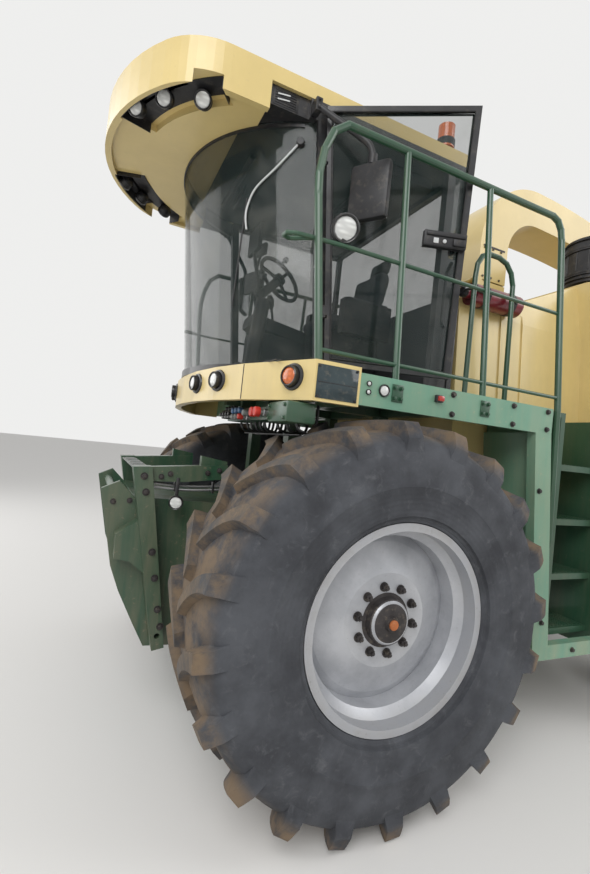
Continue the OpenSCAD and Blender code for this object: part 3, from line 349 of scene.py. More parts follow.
class Form:
    """A fitting in the making. Tuples are places with y mirrored for the right side; a Vector stays as it is.

    With turned, places are in millimetres of a frame of its own, which turned moves to the machine at the end.
    """

    def __init__(self, sign=1, turned=None):
        self.bm = bmesh.new()
        self.sign = sign
        self.turned = turned

    def at(self, place):
        if isinstance(place, Vector):
            return place
        x, y, z = place
        return spot(x, self.sign * y, z) if self.turned is None else Vector(place) / 1000

    def way(self, direction):
        if not isinstance(direction, Vector):
            x, y, z = direction
            direction = Vector((x, self.sign * y, z))
        return direction.normalized()

    def soften(self, edges, offset, clamp=False):
        bmesh.ops.bevel(self.bm, geom=list(edges), offset=offset, segments=2, profile=0.5, affect="EDGES",
                        material=-1, clamp_overlap=clamp)

    def rod(self, start, end, radius, sides=24, bevel=0.0):
        """A round bar between two places."""
        start, end = self.at(start), self.at(end)
        made = bmesh.ops.create_cone(
            self.bm, cap_ends=True, segments=sides, radius1=radius, radius2=radius, depth=(end - start).length,
            matrix=Matrix.Translation((start + end) / 2) @ facing(end - start))
        if bevel:
            self.soften({e for v in made["verts"] for e in v.link_edges
                         if len({f for f in e.link_faces if len(f.verts) > 4}) == 1}, bevel)

    def box(self, low, high, bevel=0.0, turn=0.0, axis="Y"):
        """A box between two corners, with softened edges, turned about its middle."""
        low, high = self.at(low), self.at(high)
        made = bmesh.ops.create_cube(
            self.bm, size=1, matrix=Matrix.Translation((low + high) / 2)
            @ Matrix.Rotation(turn if axis == "Y" else turn * self.sign, 4, axis)
            @ Matrix.Diagonal((*map(abs, high - low), 1)))
        if bevel:
            self.soften({e for v in made["verts"] for e in v.link_edges}, bevel)

    def ring(self, outline, centre, axis, steps=48):
        """A solid turned about an axis; the outline is in radius and distance along the axis."""
        centre, axis = self.at(centre), self.way(axis)
        spun = Matrix.Translation(centre) @ facing(axis)
        corners = [self.bm.verts.new(spun @ Vector((r, 0, a))) for r, a in outline]
        edges = [self.bm.edges.new(pair) for pair in zip(corners, corners[1:] + corners[:1])]
        bmesh.ops.spin(self.bm, geom=corners + edges, cent=centre, axis=axis,
                       angle=math.tau, steps=steps, use_merge=True)
        bmesh.ops.remove_doubles(self.bm, verts=self.bm.verts, dist=1e-6)

    def arc(self, inner, outer, low, high, start, end, steps):
        """Part of a flat ring about the z axis, between two angles in degrees."""
        first = Matrix.Rotation(math.radians(start), 4, "Z")
        corners = [self.bm.verts.new(first @ Vector((r, 0, z)))
                   for r, z in ((inner, low), (outer, low), (outer, high), (inner, high))]
        face = self.bm.faces.new(corners)
        bmesh.ops.spin(self.bm, geom=[*corners, *face.edges, face], cent=(0, 0, 0), axis=Z,
                       angle=math.radians(end - start), steps=steps)

    def pipe(self, places, radius, sides=12):
        """A bent tube along places."""
        data = bpy.data.curves.new("pipe", "CURVE")
        data.dimensions = "3D"
        data.bevel_depth = radius
        data.bevel_resolution = sides // 4 - 1
        data.use_fill_caps = True
        spline = data.splines.new("NURBS")
        spline.points.add(len(places) - 1)
        for point, place in zip(spline.points, places):
            point.co = (*self.at(place), 1)
        spline.order_u = 3
        spline.use_endpoint_u = True
        spline.resolution_u = 6
        held = bpy.data.objects.new("pipe", data)
        mesh = bpy.data.meshes.new_from_object(held)
        self.bm.from_mesh(mesh)
        bpy.data.objects.remove(held)
        bpy.data.curves.remove(data)
        bpy.data.meshes.remove(mesh)

    def head(self, base, direction, across, height):
        """A bolt head standing on a surface."""
        base = self.at(base)
        self.rod(base, base + self.way(direction) * height, across / 2, 6, across * 0.06)

    def bolts(self, places, direction, across=0.024, height=0.014):
        """Bolt heads with washers on a flat face."""
        way = self.way(direction)
        for place in map(self.at, places):
            self.rod(place, place + way * 0.003, across * 0.7, 20)
            self.head(place + way * 0.002, way, across, height)

    def held(self, name):
        """The form as an object in the scene."""
        mesh = bpy.data.meshes.new(name)
        self.bm.to_mesh(mesh)
        self.bm.free()
        made = bpy.data.objects.new(name, mesh)
        bpy.context.scene.collection.objects.link(made)
        return made

    def done(self, name, material="black_trim", body="body", slot=None, smooth=35):
        """Closes the form into a named piece that rides on a body."""
        if self.turned is not None:
            bmesh.ops.transform(self.bm, verts=self.bm.verts, matrix=self.turned)
        bmesh.ops.recalc_face_normals(self.bm, faces=self.bm.faces)
        made = self.held(name)
        made.data.materials.append(MATERIALS[material])
        if smooth:
            made.data.shade_smooth()
            made.data.set_sharp_from_angle(angle=math.radians(smooth))
        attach(made, body)
        return made


class HARVESTER_OT_finishes(bpy.types.Operator):
    """Make the finishes and put them on the solids"""
    bl_idname = "harvester.finishes"
    bl_label = "Finishes"

    def execute(self, context):
        tone = context.scene.harvester_finishes
        cream, light, dark = (tuple(c) for c in (tone.cream, tone.light_green, tone.dark_green))
        lacquer("cream", cream, grime=0.3, low=1.2)
        lacquer("light_green", light, grime=0.4, low=0.6)
        lacquer("dark_green", dark, (0.15, 0.13, 0.09), 0.45)
        lacquer("frame_green", dark, (0.2, 0.165, 0.11), 0.75)
        plain("black_trim", (0.018, 0.018, 0.02), 0.45)
        plain("black_metal", (0.02, 0.02, 0.022), 0.38, grain=220, coat=0.3)
        plain("grey_plate", (0.21, 0.225, 0.22), 0.6, dusty=0.5)
        plain("bare_steel", (0.45, 0.45, 0.46), 0.34, 0.9, vary=0.12)
        plain("bolt", (0.05, 0.045, 0.045), 0.55, 0.5, dusty=0.3)
        plain("rust", (0.42, 0.13, 0.04), 0.8, dusty=0.2)
        plain("hose", (0.016, 0.016, 0.017), 0.62, grain=300)
        plain("dark_plastic", (0.04, 0.042, 0.045), 0.6, grain=8, depth=0.02, vary=0.08, dusty=0.0)
        plain("pale_metal", (0.55, 0.56, 0.56), 0.4, vary=0.1)
        plain("screen_glass", (0.03, 0.045, 0.05), 0.08, depth=0.0, dusty=0.2)
        plain("red_paint", (0.16, 0.008, 0.018), 0.3, coat=0.5)
        plain("red_plastic", (0.5, 0.03, 0.02), 0.4)
        plain("blue_plastic", (0.08, 0.16, 0.3), 0.4)
        plain("engine_iron", (0.07, 0.07, 0.075), 0.65, dusty=0.4)
        plain("exhaust_steel", (0.25, 0.22, 0.19), 0.42, 0.7, dusty=0.35)
        plain("mirror", (0.6, 0.62, 0.64), 0.06, 1.0, depth=0.0, vary=0.05, dusty=0.05)
        pane("glass", (0.02, 0.035, 0.033), 0.3)
        pane("door_pane", (0.02, 0.035, 0.033), 0.26, 0.14)
        lens("white_lens", (0.86, 0.87, 0.85))
        lens("amber_lens", (0.72, 0.17, 0.04))
        lens("red_lens", (0.55, 0.03, 0.02))
        cloth("seat_cloth", (0.06, 0.062, 0.07))
        # Materials see the mesh's own coordinates, so both wheels of an axle share a centre in x and z
        for kind, (x, y, z), bead, outer, flange in (
                ("drive", DRIVE_HUB, 0.5, 1.0, 0.507), ("steer", STEER_HUB, 0.4, 0.74, 0.403)):
            rubber(kind + "_rubber", (x, 0, z), bead, outer)
            alloy(kind + "_alloy", (x, 0, z), flange)
        finish = {
            "cream": "cab_roof bumper hood hood_door_left hood_door_right tailgate "
                     "spout_tower spout_turret spout spout_flap",
            "light_green": "platform_left platform_right",
            "dark_green": "rail_left rail_right rail_arch ladder coupler_block",
            "frame_green": "chassis front_axle feed_housing chopper_housing rear_axle "
                           "knuckle_left knuckle_right",
            "black_metal": "cab_frame door_frame tie_rod spout_ram work_lamps",
            "black_trim": "seat_base steering_column steering_wheel mirrors air_cleaner front_lamps",
            "bare_steel": "upper_feed_roller lower_feed_roller spout_ram_rod",
            "glass": "windscreen cab_windows", "door_pane": "door_glass",
            "drive_rubber": "front_tyre_left front_tyre_right",
            "steer_rubber": "rear_tyre_left rear_tyre_right",
            "drive_alloy": "front_rim_left front_rim_right", "steer_alloy": "rear_rim_left rear_rim_right",
            "amber_lens": "beacon", "red_paint": "extinguisher", "engine_iron": "engine",
            "exhaust_steel": "exhaust", "seat_cloth": "seat",
        }
        for name, members in finish.items():
            for member in members.split():
                data = NODES[member].data
                data.materials.clear()
                data.materials.append(MATERIALS[name])
        return {"FINISHED"}


class Tyre:
    """Sizes of one tyre, in metres, as the part's source has them."""

    def __init__(self, outer, half, bulge, lug, count, flange, bead):
        self.outer, self.half, self.bulge = outer, half, bulge
        self.lug, self.count, self.flange, self.bead = lug, count, flange, bead
        self.base = outer - lug
        self.drop = outer * 0.095

    def carcass(self):
        """Half of the outline, from the bead out over the sidewall to the middle of the tread."""
        base, half, bulge, drop, flange, bead = (
            self.base, self.half, self.bulge, self.drop, self.flange, self.bead)
        middle = (flange + base) / 2
        return [
            (flange - 0.0257, bead - 0.003), (flange + 0.0003, bead), (flange + 0.006, bead + 0.013),
            (flange + 0.018, bead + 0.017), (flange + 0.022, bead + 0.022), (flange + 0.034, bead + 0.024),
            (flange + 0.038, half + bulge * 0.42), (flange + 0.06, half + bulge * 0.7),
            (middle - 0.05, half + bulge * 0.92), (middle - 0.046, half + bulge * 1.02),
            (middle - 0.03, half + bulge * 1.03), (middle - 0.026, half + bulge * 0.95),
            (middle + 0.03, half + bulge * 0.95), (base - drop - 0.02, half + bulge * 0.6),
            (base - drop, half + bulge * 0.42), (base - drop * 0.7, half + bulge * 0.05),
            (base - drop * 0.42, half - drop * 0.3), (base - drop * 0.2, half - drop * 0.75),
            (base - drop * 0.08, half * 0.62), (base, half * 0.2)]

    def ground(self, y):
        """Radius of the tread's floor at a distance from the middle plane."""
        points = sorted((b, a) for a, b in self.carcass()[-6:])
        for (y0, r0), (y1, r1) in zip(points, points[1:]):
            if y <= y1:
                return r0 + (r1 - r0) * max(0.0, (y - y0) / (y1 - y0))
        return points[-1][1]

    def crest(self, y):
        """Radius of a lug's top there; it falls away steeply outside the shoulder."""
        if y < self.half - self.bulge * 0.2:
            return self.outer - self.lug * 0.25 * (y / self.half) ** 4
        fall = (y - self.half + self.bulge * 0.2) / (self.bulge * 1.05)
        return self.outer - self.lug * 0.25 - fall * (self.lug * 0.75 + self.drop * 0.4)

    def lugs(self, form):
        """All lugs: one bar, bent and drafted, then carried round and mirrored."""
        bm = form.bm
        bmesh.ops.create_cube(bm, size=2)
        for cut in (-0.75, -0.5, -0.22, 0.06, 0.3, 0.52, 0.7, 0.82, 0.9, 0.96):
            bmesh.ops.bisect_plane(
                bm, geom=[*bm.verts, *bm.edges, *bm.faces], plane_co=(cut, 0, 0), plane_no=X)
        for v in bm.verts:
            way, across, up = (v.co.x + 1) / 2, v.co.y, v.co.z
            y = 0.006 + way * (self.half + self.bulge * 0.88 - 0.006)
            thick = 0.029 + 0.014 * way + (0.013 if up < 0 else 0)
            run = 0.112 - 0.206 * (1 - (1 - way) ** 1.85) + across * thick
            r = self.crest(y) if up > 0 else self.ground(y) - 0.014
            if up < 0 and way > 0.9:
                r, y = self.base - self.drop - 0.035, self.half + self.bulge * 0.4
            v.co = (run, y, math.sqrt(r * r - run * run))
        form.soften((e for e in bm.edges if e.calc_face_angle(0) > math.radians(28)), 0.0075, True)
        every = math.tau / self.count
        bmesh.ops.spin(bm, geom=[*bm.verts, *bm.edges, *bm.faces], cent=(0, 0, 0), axis=Y,
                       angle=every * (self.count - 1), steps=self.count - 1, use_duplicate=True)
        other = bmesh.ops.duplicate(bm, geom=[*bm.verts, *bm.edges, *bm.faces])["geom"]
        other = [v for v in other if isinstance(v, bmesh.types.BMVert)]
        bmesh.ops.scale(bm, verts=other, vec=(1, -1, 1))
        step = Matrix.Rotation(every / 2, 3, "Y")
        bmesh.ops.rotate(bm, verts=other, cent=(0, 0, 0), matrix=step)
        bmesh.ops.rotate(bm, verts=bm.verts, cent=(0, 0, 0), matrix=step)

    def build(self, hub, kind, axle, side, sign):
        form = Form(turned=Matrix.Translation(Form(sign).at(hub)) @ Matrix.Diagonal((1, sign, 1, 1)))
        self.lugs(form)
        half = self.carcass()
        form.ring(half + [(r, -y) for r, y in reversed(half)], (0, 0, 0), Y, 120)
        made = form.done(
            "%s_tyre_%s" % (kind, side), kind + "_rubber", "%s_wheel_%s" % (axle, side), "tyre", 32)
        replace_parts(made, "%s_tyre_%s" % (axle, side))


class HARVESTER_OT_tyres(bpy.types.Operator):
    """Tyres with drafted, rounded lugs and rings on the sidewall"""
    bl_idname = "harvester.tyres"
    bl_label = "Tyres"

    def execute(self, context):
        for side, sign in SIDES:
            Tyre(1.0, 0.34, 0.026, 0.045, 20, 0.507, 0.3097).build(DRIVE_HUB, "drive", "front", side, sign)
            Tyre(0.74, 0.25, 0.022, 0.038, 18, 0.403, 0.2117).build(STEER_HUB, "steer", "rear", side, sign)
        return {"FINISHED"}


class HARVESTER_OT_wheels(bpy.types.Operator):
    """Bolts, hub caps and centre plugs of the four wheels"""
    bl_idname = "harvester.wheels"
    bl_label = "Wheel fittings"

    def execute(self, context):
        for side, sign in SIDES:
            out = Vector((0, sign, 0))
            # Outer face of the disc, radius of the bolt circle, radius of the cap and its top
            for kind, hub, disc, pitch, cap, top in (
                    ("front", DRIVE_HUB, 0.195, 0.1675, 0.112, 0.245),
                    ("rear", STEER_HUB, 0.11, 0.14, 0.085, 0.15)):
                body = kind + "_wheel_" + side
                centre = Form(sign).at(hub)
                bolts = Form()
                for i in range(10):
                    a = math.radians(36 * i + 9)
                    foot = centre + out * (disc - 0.001) + Vector((math.cos(a), 0, math.sin(a))) * pitch
                    bolts.rod(foot, foot + out * 0.006, 0.024, 20)
                    bolts.head(foot + out * 0.005, out, 0.036, 0.022)
                    bolts.rod(foot + out * 0.026, foot + out * 0.04, 0.0095, 14, 0.002)
                bolts.done(body + "_bolts", "bolt", body)
                dome = Form()
                dome.ring([(0, top + 0.02), (cap * 0.3, top + 0.02), (cap * 0.36, top + 0.005),
                           (cap * 0.8, top + 0.004), (cap + 0.002, top - 0.012), (cap + 0.006, disc + 0.004),
                           (cap + 0.024, disc + 0.001), (cap + 0.024, disc - 0.002), (0, disc - 0.002)],
                          centre, out)
                dome.done(body + "_cap", "bolt", body)
                plug = Form()
                plug.rod(centre + out * (top + 0.015), centre + out * (top + 0.03), cap * 0.22, bevel=0.003)
                plug.done(body + "_plug", "rust", body)
        return {"FINISHED"}


def disc_lamp(centre, aim, radius, name, glass="white_lens", depth=0.03):
    """A round lamp: a domed lens in a rounded bezel, standing on a face at the centre."""
    aim = Vector(aim).normalized()
    dome = Form()
    dome.ring([(0, depth * 0.6), (radius * 0.5, depth * 0.52), (radius * 0.8, depth * 0.3),
               (radius * 0.9, 0), (0, 0)], centre, aim, 40)
    dome.done(name + "_lens", glass)
    rim = Form()
    rim.ring([(radius * 0.86, depth * 0.1), (radius * 0.9, depth * 0.5), (radius * 0.98, depth * 0.6),
              (radius * 1.06, depth * 0.4), (radius * 1.08, -depth * 0.2), (radius * 0.86, -depth * 0.2)],
             centre, aim, 40)
    rim.done(name + "_bezel", "black_metal")


def lamp_can(cans, middle, sign, turn, dip, radius, name):
    """A round work lamp with a finned can, a white lens and a bezel; the can joins a shared form."""
    t, d = math.radians(turn), math.radians(dip)
    aim = Vector((math.cos(t) * math.cos(d), sign * math.sin(t) * math.cos(d), math.sin(d)))
    size = radius / 0.047
    outlines = [[(0, -0.042), (0.02, -0.042), (0.034, -0.034), (0.043, -0.02), (0.045, -0.02), (0.045, 0.014),
                 (0.047, 0.014), (0.047, 0.02), (0, 0.02)]]
    for x in (-0.018, -0.007, 0.004):
        outlines.append([(0.044, x), (0.0485, x), (0.0485, x + 0.004), (0.044, x + 0.004)])
    for outline in outlines:
        cans.ring([(r * size, a * size) for r, a in outline], middle, aim, 32)
    disc_lamp(middle + aim * 0.02 * size, aim, radius, name, depth=0.022 * size)


class HARVESTER_OT_roof(bpy.types.Operator):
    """Lamps, dark linings and trim under and on the cab roof"""
    bl_idname = "harvester.roof"
    bl_label = "Roof fittings"

    def execute(self, context):
        cans = Form()
        for side, sign in SIDES:
            liner = Form(turned=Matrix.Translation(spot(VISOR_X, 0, 0)) @ Matrix.Diagonal((1, sign, 1, 1)))
            for inner, outer, low, end in (
                    (0.966, 1.088, 3.728, 54.6), (1.149, 1.1525, 3.664, 43), (1.07, 1.15, 3.728, 43)):
                liner.arc(inner, outer, low, 3.7315, 17.3, end, 24)
            for angle, middle, width in ((17.35, 1.06, 0.18), (54.6, 1.025, 0.11)):
                bmesh.ops.create_cube(
                    liner.bm, size=1, matrix=Matrix.Rotation(math.radians(angle), 4, "Z")
                    @ Matrix.Translation((middle, 0, 3.697)) @ Matrix.Diagonal((width, 0.004, 0.066, 1)))
            liner.done("visor_liner_" + side, smooth=0)
            for i, (angle, reach, turn, dip) in enumerate(VISOR_LAMPS):
                a = math.radians(angle)
                middle = spot(VISOR_X + reach * math.cos(a), sign * reach * math.sin(a), LAMP_Z)
                lamp_can(cans, middle, sign, turn, dip, 0.047, "visor_lamp_%s_%d" % (side, i + 1))
        lamp_can(cans, spot(395, 1305, 2915), 1, 75, -24, 0.066, "rail_lamp")
        cans.box((384, 1299, 2840), (408, 1321, 2900), 0.003)
        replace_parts(cans.done("lamp_cans", "black_metal"), "work_lamps")
        for side, sign in SIDES:
            vent = Form(sign)
            vent.box((545, 873.5, 3712), (700, 877.5, 3812), 0.001)
            for z in range(3722, 3793, 14):
                vent.box((560, 870.5, z), (690, 880.5, z + 5), 0.001, 0.5, "X")
            vent.done("side_vent_" + side)
            mark = Form(sign)
            for z in (3746, 3776):
                mark.box((600, 880.5, z), (676, 882.5, z + 8), 0.001, 0.16)
            mark.done("vent_strips_" + side, "pale_metal")
        band = Form()
        band.arc(0.9505, 0.9575, 1.355, 1.385, -63, 63, 48)
        bmesh.ops.transform(band.bm, verts=band.bm.verts, matrix=SCREEN)
        # The band's two edges are level, though the screen leans
        for i, v in enumerate(band.bm.verts):
            v.co += LEAN_AXIS * (((3.672, 3.672, 3.6885, 3.6885)[i % 4] - v.co.z) / LEAN_AXIS.z)
        band.done("screen_band")
        base = Form()
        base.ring([(0.02, 3.976), (0.055, 3.976), (0.055, 3.984), (0.022, 3.99), (0.022, 4.012), (0.05, 4.018),
                   (0.064, 4.03), (0.065, 4.075), (0.0635, 4.078), (0, 4.078), (0, 3.976)],
                  (-640, 730, 0), Z, 40)
        base.done("beacon_base")
        return {"FINISHED"}


class HARVESTER_OT_cab(bpy.types.Operator):
    """Seat cushions, console, levers and trim inside the cab"""
    bl_idname = "harvester.cab"
    bl_label = "Cab interior"

    def cushion(self, name, low, high, lean=0.0, swell=0.022, sign=1):
        """A stuffed pad: a slightly smaller block, blown up as cloth and capped."""
        form = Form(sign)
        low, high = form.at(low), form.at(high)
        low, high = (Vector(map(pick, low, high)) for pick in (min, max))
        inset = Vector((0.012,) * 3)
        form.box(low + inset, high - inset, 0.03, math.radians(lean))
        made = form.held(name)
        remesh = made.modifiers.new("remesh", "REMESH")
        remesh.mode = "VOXEL"
        remesh.voxel_size = 0.012
        self.bake(made)
        still = [v.co.copy() for v in made.data.vertices]
        blown = made.modifiers.new("cloth", "CLOTH")
        blown.settings.use_pressure = True
        blown.settings.uniform_pressure_force = 4
        blown.settings.effector_weights.gravity = 0
        scene = bpy.context.scene
        for step in range(1, 21):
            scene.frame_set(step)
        self.bake(made)
        scene.frame_set(1)
        for v, old in zip(made.data.vertices, still):
            moved = v.co - old
            if moved.length > swell:
                v.co = old + moved.normalized() * swell
        made.data.materials.append(MATERIALS["seat_cloth"])
        made.data.shade_smooth()
        finer = made.modifiers.new("finer", "SUBSURF")
        finer.levels = finer.render_levels = 1
        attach(made, "body")
        return made

    def bake(self, made):
        """Applies the modifiers of a piece to its mesh."""
        graph = bpy.context.evaluated_depsgraph_get()
        graph.update()
        mesh = bpy.data.meshes.new_from_object(made.evaluated_get(graph))
        made.modifiers.clear()
        made.data = mesh

    def execute(self, context):
        seat = self.cushion("seat_cushion", (-510, -235, 2752), (-65, 235, 2862))
        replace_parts(seat, "seat")
        self.cushion("seat_back", (-640, -215, 2850), (-520, 215, 3330), -9.6)
        self.cushion("seat_headrest", (-722, -130, 3310), (-628, 130, 3460), -9.6, 0.012)
        for side, sign in SIDES:
            self.cushion("armrest_" + side, (-600, 258, 2945), (-190, 332, 2992), 0, 0.008, sign)
        trim = Form()
        trim.box((-470, -640, 2281), (270, -380, 2760), 0.03)
        trim.box((-380, -650, 2740), (300, -372, 2860), 0.03, -0.16)
        trim.box((-700, -850, 2281), (-600, 850, 2900), 0.02)
        trim.box((300, -340, 2281), (520, 340, 2330), 0.015)
        trim.done("console", "dark_plastic")
        levers = Form()
        levers.pipe([(60, -500, 2850), (70, -500, 2940), (100, -490, 3020)], 0.012)
        levers.ring([(0, 0.06), (0.02, 0.055), (0.034, 0.02), (0.03, -0.03), (0.018, -0.06), (0, -0.06)],
                    (110, -490, 3060), (0.25, 0.05, 1), 24)
        for y in (-560, -500, -440):
            levers.rod((180, y, 2850), (210, y, 2950), 0.006)
            levers.ring([(0, 0.018), (0.013, 0.012), (0.016, 0), (0.012, -0.014), (0, -0.018)],
                        (212, y, 2960), Z, 20)
        levers.done("levers")
        wheel = Matrix.Translation(spot(232, 0, 3080)) @ Matrix.Rotation(math.radians(-42), 4, "Y")
        up = wheel.to_3x3() @ Vector(Z)
        knob = Form()
        knob.ring([(0, 0.062), (0.014, 0.06), (0.022, 0.048), (0.022, 0.03), (0.012, 0.02), (0.01, 0), (0, 0)],
                  wheel @ Vector((0.08, 0.166, 0.014)), up, 28)
        knob.ring([(0, 0.036), (0.03, 0.034), (0.046, 0.024), (0.05, 0), (0, 0)], wheel.translation, up, 32)
        knob.done("wheel_knob", body="steering_wheel")
        screen = Form()
        screen.box((250, -640, 3110), (285, -400, 3300), 0.012, 0.35, "Z")
        screen.box((300, -320, 3330), (330, -180, 3430), 0.012, 0.25, "Z")
        screen.pipe([(150, -560, 2800), (200, -560, 2960), (265, -520, 3120)], 0.014)
        screen.pipe([(265, -500, 3290), (290, -380, 3330), (315, -260, 3350)], 0.011)
        for k in range(3):
            screen.box((285, -300 + 60 * k, 3020 + 45 * k), (330, -250 + 60 * k, 3070 + 45 * k), 0.008)
        screen.done("monitor")
        lit = Form()
        lit.box((245, -625, 3125), (250, -415, 3285), 0, 0.35, "Z")
        lit.done("monitor_glass", "screen_glass")
        lining = Form()
        lining.box((-690, -830, 3808), (760, 830, 3818.5), 0.003)
        lining.box((-600, -700, 3720), (-200, 700, 3806), 0.03)
        lining.box((-700, -850, 2280.5), (560, 850, 2288), 0.002)
        lining.done("lining", "dark_plastic")
        blind = Form()
        blind.ring([(0, -0.38), (0.022, -0.38), (0.022, 0.38), (0, 0.38)], (640, 0, 3700), Y, 24)
        blind.box((600, -120, 3560), (622, 110, 3650), 0.01, -0.2)
        blind.rod((612, 0, 3650), (625, 0, 3700), 0.008)
        blind.done("sun_blind")

        def on_glass(angle, height, radius):
            a = math.radians(angle)
            return SCREEN @ Vector((radius * math.cos(a), radius * math.sin(a), height))

        wiper = Form()
        wiper.pipe([on_glass(angle, height, 0.962) for angle, height in (
            (61.3, 1.344), (57.1, 1.274), (52.4, 1.2), (47.5, 1.141),
            (44.8, 1.102), (42.8, 1.048), (40.8, 0.953), (41.7, 0.873))], 0.006)
        wiper.done("wiper_arm", "pale_metal", slot="plastic")
        blade = Form()
        blade.pipe([on_glass(41.7 - k * 0.9, 1.06 - 0.09 * k, 0.957) for k in range(8)], 0.005)
        blade.ring([(0, 0.016), (0.02, 0.014), (0.026, 0), (0.026, -0.01), (0, -0.01)],
                   on_glass(61.5, 1.345, 0.962), (0.45, 0.88, 0), 24)
        blade.done("wiper_blade")
        return {"FINISHED"}


class HARVESTER_OT_front(bpy.types.Operator):
    """Lamps, blank plates and couplers on the bumper and the platforms' edges"""
    bl_idname = "harvester.front"
    bl_label = "Front fittings"

    def execute(self, context):
        for side, sign in SIDES:
            # Place on the bumper's face, the face's angle, the lens and how wide its surround is
            for i, (x, y, turn, radius, glass, wide) in enumerate((
                    (842.7, 375, 9.16, 0.045, "white_lens", 1.2), (788, 680, 16.6, 0.045, "white_lens", 1.2),
                    (566, 1258, 24.03, 0.048, "amber_lens", 1.0))):
                t = math.radians(turn)
                aim = Vector((math.cos(t), sign * math.sin(t), 0))
                centre = spot(x, sign * y, 2150)
                disc_lamp(centre + aim * 0.0302, aim, radius,
                          "bumper_lamp_%s_%d" % (side, i + 1), glass, 0.018)
                around_it = Form(turned=Matrix.Translation(centre + aim * 0.001) @ facing(aim)
                                 @ Matrix.Diagonal((wide, 1, 1, 1)))
                r = radius + 0.006
                around_it.ring([(r * 0.9, 0), (r * 0.9, 0.006), (r * 1.04, 0.011),
                                (r * 1.2, 0.008), (r * 1.26, 0)], (0, 0, 0), Z, 40)
                around_it.done("lamp_surround_%s_%d" % (side, i + 1), "black_metal")
            plate = Form(sign)
            plate.box((275, EDGE_Y - 1, 2052), (500, EDGE_Y + 4, 2213), 0.0015)
            plate.done("side_plate_" + side, "screen_glass")
            trim = Form(sign)
            trim.box((280, EDGE_Y - 1, 2128), (495, EDGE_Y + 5.5, 2131), 0.0005)
            trim.bolts([(x, EDGE_Y + 4, z) for x in (284, 491) for z in (2060, 2205)], Y, 0.01, 0.004)
            trim.box((-251, EDGE_Y - 1, 2126), (-203, EDGE_Y + 20, 2164), 0.004)
            trim.done("side_plate_trim_" + side)
            marker = Form(sign)
            marker.box((-246, EDGE_Y + 18, 2131), (-208, EDGE_Y + 34, 2159), 0.006)
            marker.done("side_marker_" + side, "red_lens")
            for name, x, z, radius, depth in (
                    ("upper", 212, 2160, 0.013, 0.016), ("lower", 212, 2118, 0.013, 0.016),
                    ("middle", 120, 2138, 0.03, 0.02)):
                disc_lamp(spot(x, sign * (EDGE_Y + 1), z), (0, sign, 0), radius,
                          "edge_lamp_%s_%s" % (name, side), depth=depth)
            bolts = Form(sign)
            bolts.bolts([(x, EDGE_Y, z) for x in (-1080, -790, -330) for z in (2075, 2182)], Y)
            bolts.bolts([(x, EDGE_Y, z) for x, z in (
                (-1188, 900), (-1120, 1300), (-1065, 1700), (-1500, 710), (-1850, 710))], Y)
            bolts.done("platform_bolts_" + side, "bolt")
            seam = Form(sign)
            seam.box((712, 918, 2039.5), (718, 924, 2229.5), 0.001, math.radians(50), "Z")
            seam.done("bumper_seam_" + side, smooth=0)
        ridge = Form()
        for x in range(300, 637, 24):
            for y in (-1200, 880):
                ridge.box((x, y, 2231), (x + 6, y + 320, 2235), 0.001)
        ridge.done("step_ribs", smooth=0)
        block = Form()
        block.box((455, 1081, 1925), (612, 1330, 2028), 0.012)
        block.box((480, 1068, 1950), (580, 1090, 2000), 0.002)
        block.bolts([(612, y, z) for y in (1105, 1305) for z in (1945, 2008)], X, 0.016, 0.008)
        block.done("coupler_box", "dark_green")
        valves = Form()
        for y in range(340, 527, 62):
            valves.box((598, y - 25, 1950), (650, y + 25, 2004), 0.006)
            valves.rod((620, y, 2003), (620, y, 2030), 0.014, 20, 0.002)
            valves.rod((649, y, 1978), (668, y, 1978), 0.012, 20, 0.002)
        for y in (355, 480, 560, 640, 720, 800, 1000, 1130, 1250):
            back = y * 0.9
            valves.pipe([(520, y, 1941), (515, y, 1900), (470, y, 1884), (380, back, 1884),
                         (352, back, 1900), (345, back, 1960), (345, back, 2044)], 0.008)
        for x in (385, 460):
            valves.box((x, 300, 1872), (x + 16, 1200, 1876), 0.001)
        valves.done("valve_block", "black_metal", slot="steel")
        metal = Form()
        caps = {"blue": Form(), "red": Form(), "grey": Form()}
        for y, z, cap in ((615, 1992, "blue"), (615, 1956, "grey"), (680, 1992, "blue"), (680, 1956, "grey"),
                          (745, 1992, "blue"), (745, 1956, "red"), (830, 1975, "grey"),
                          (965, 1976, "red"), (1030, 1976, "red")):
            metal.ring([(0, 0), (0.02, 0), (0.02, 0.018), (0.016, 0.022), (0.016, 0.042), (0, 0.042)],
                       (599, y, z), X, 24)
            wide = 0.026 if y > 900 else 0.017
            caps[cap].ring([(0, 0), (wide, 0), (wide + 0.001, 0.006), (wide, 0.026),
                            (wide - 0.004, 0.03), (0, 0.031)], (640, y, z), X, 28)
        metal.done("couplings", "bare_steel")
        for cap, form in caps.items():
            form.done("coupling_caps_" + cap, "grey_plate" if cap == "grey" else cap + "_plastic")
        return {"FINISHED"}


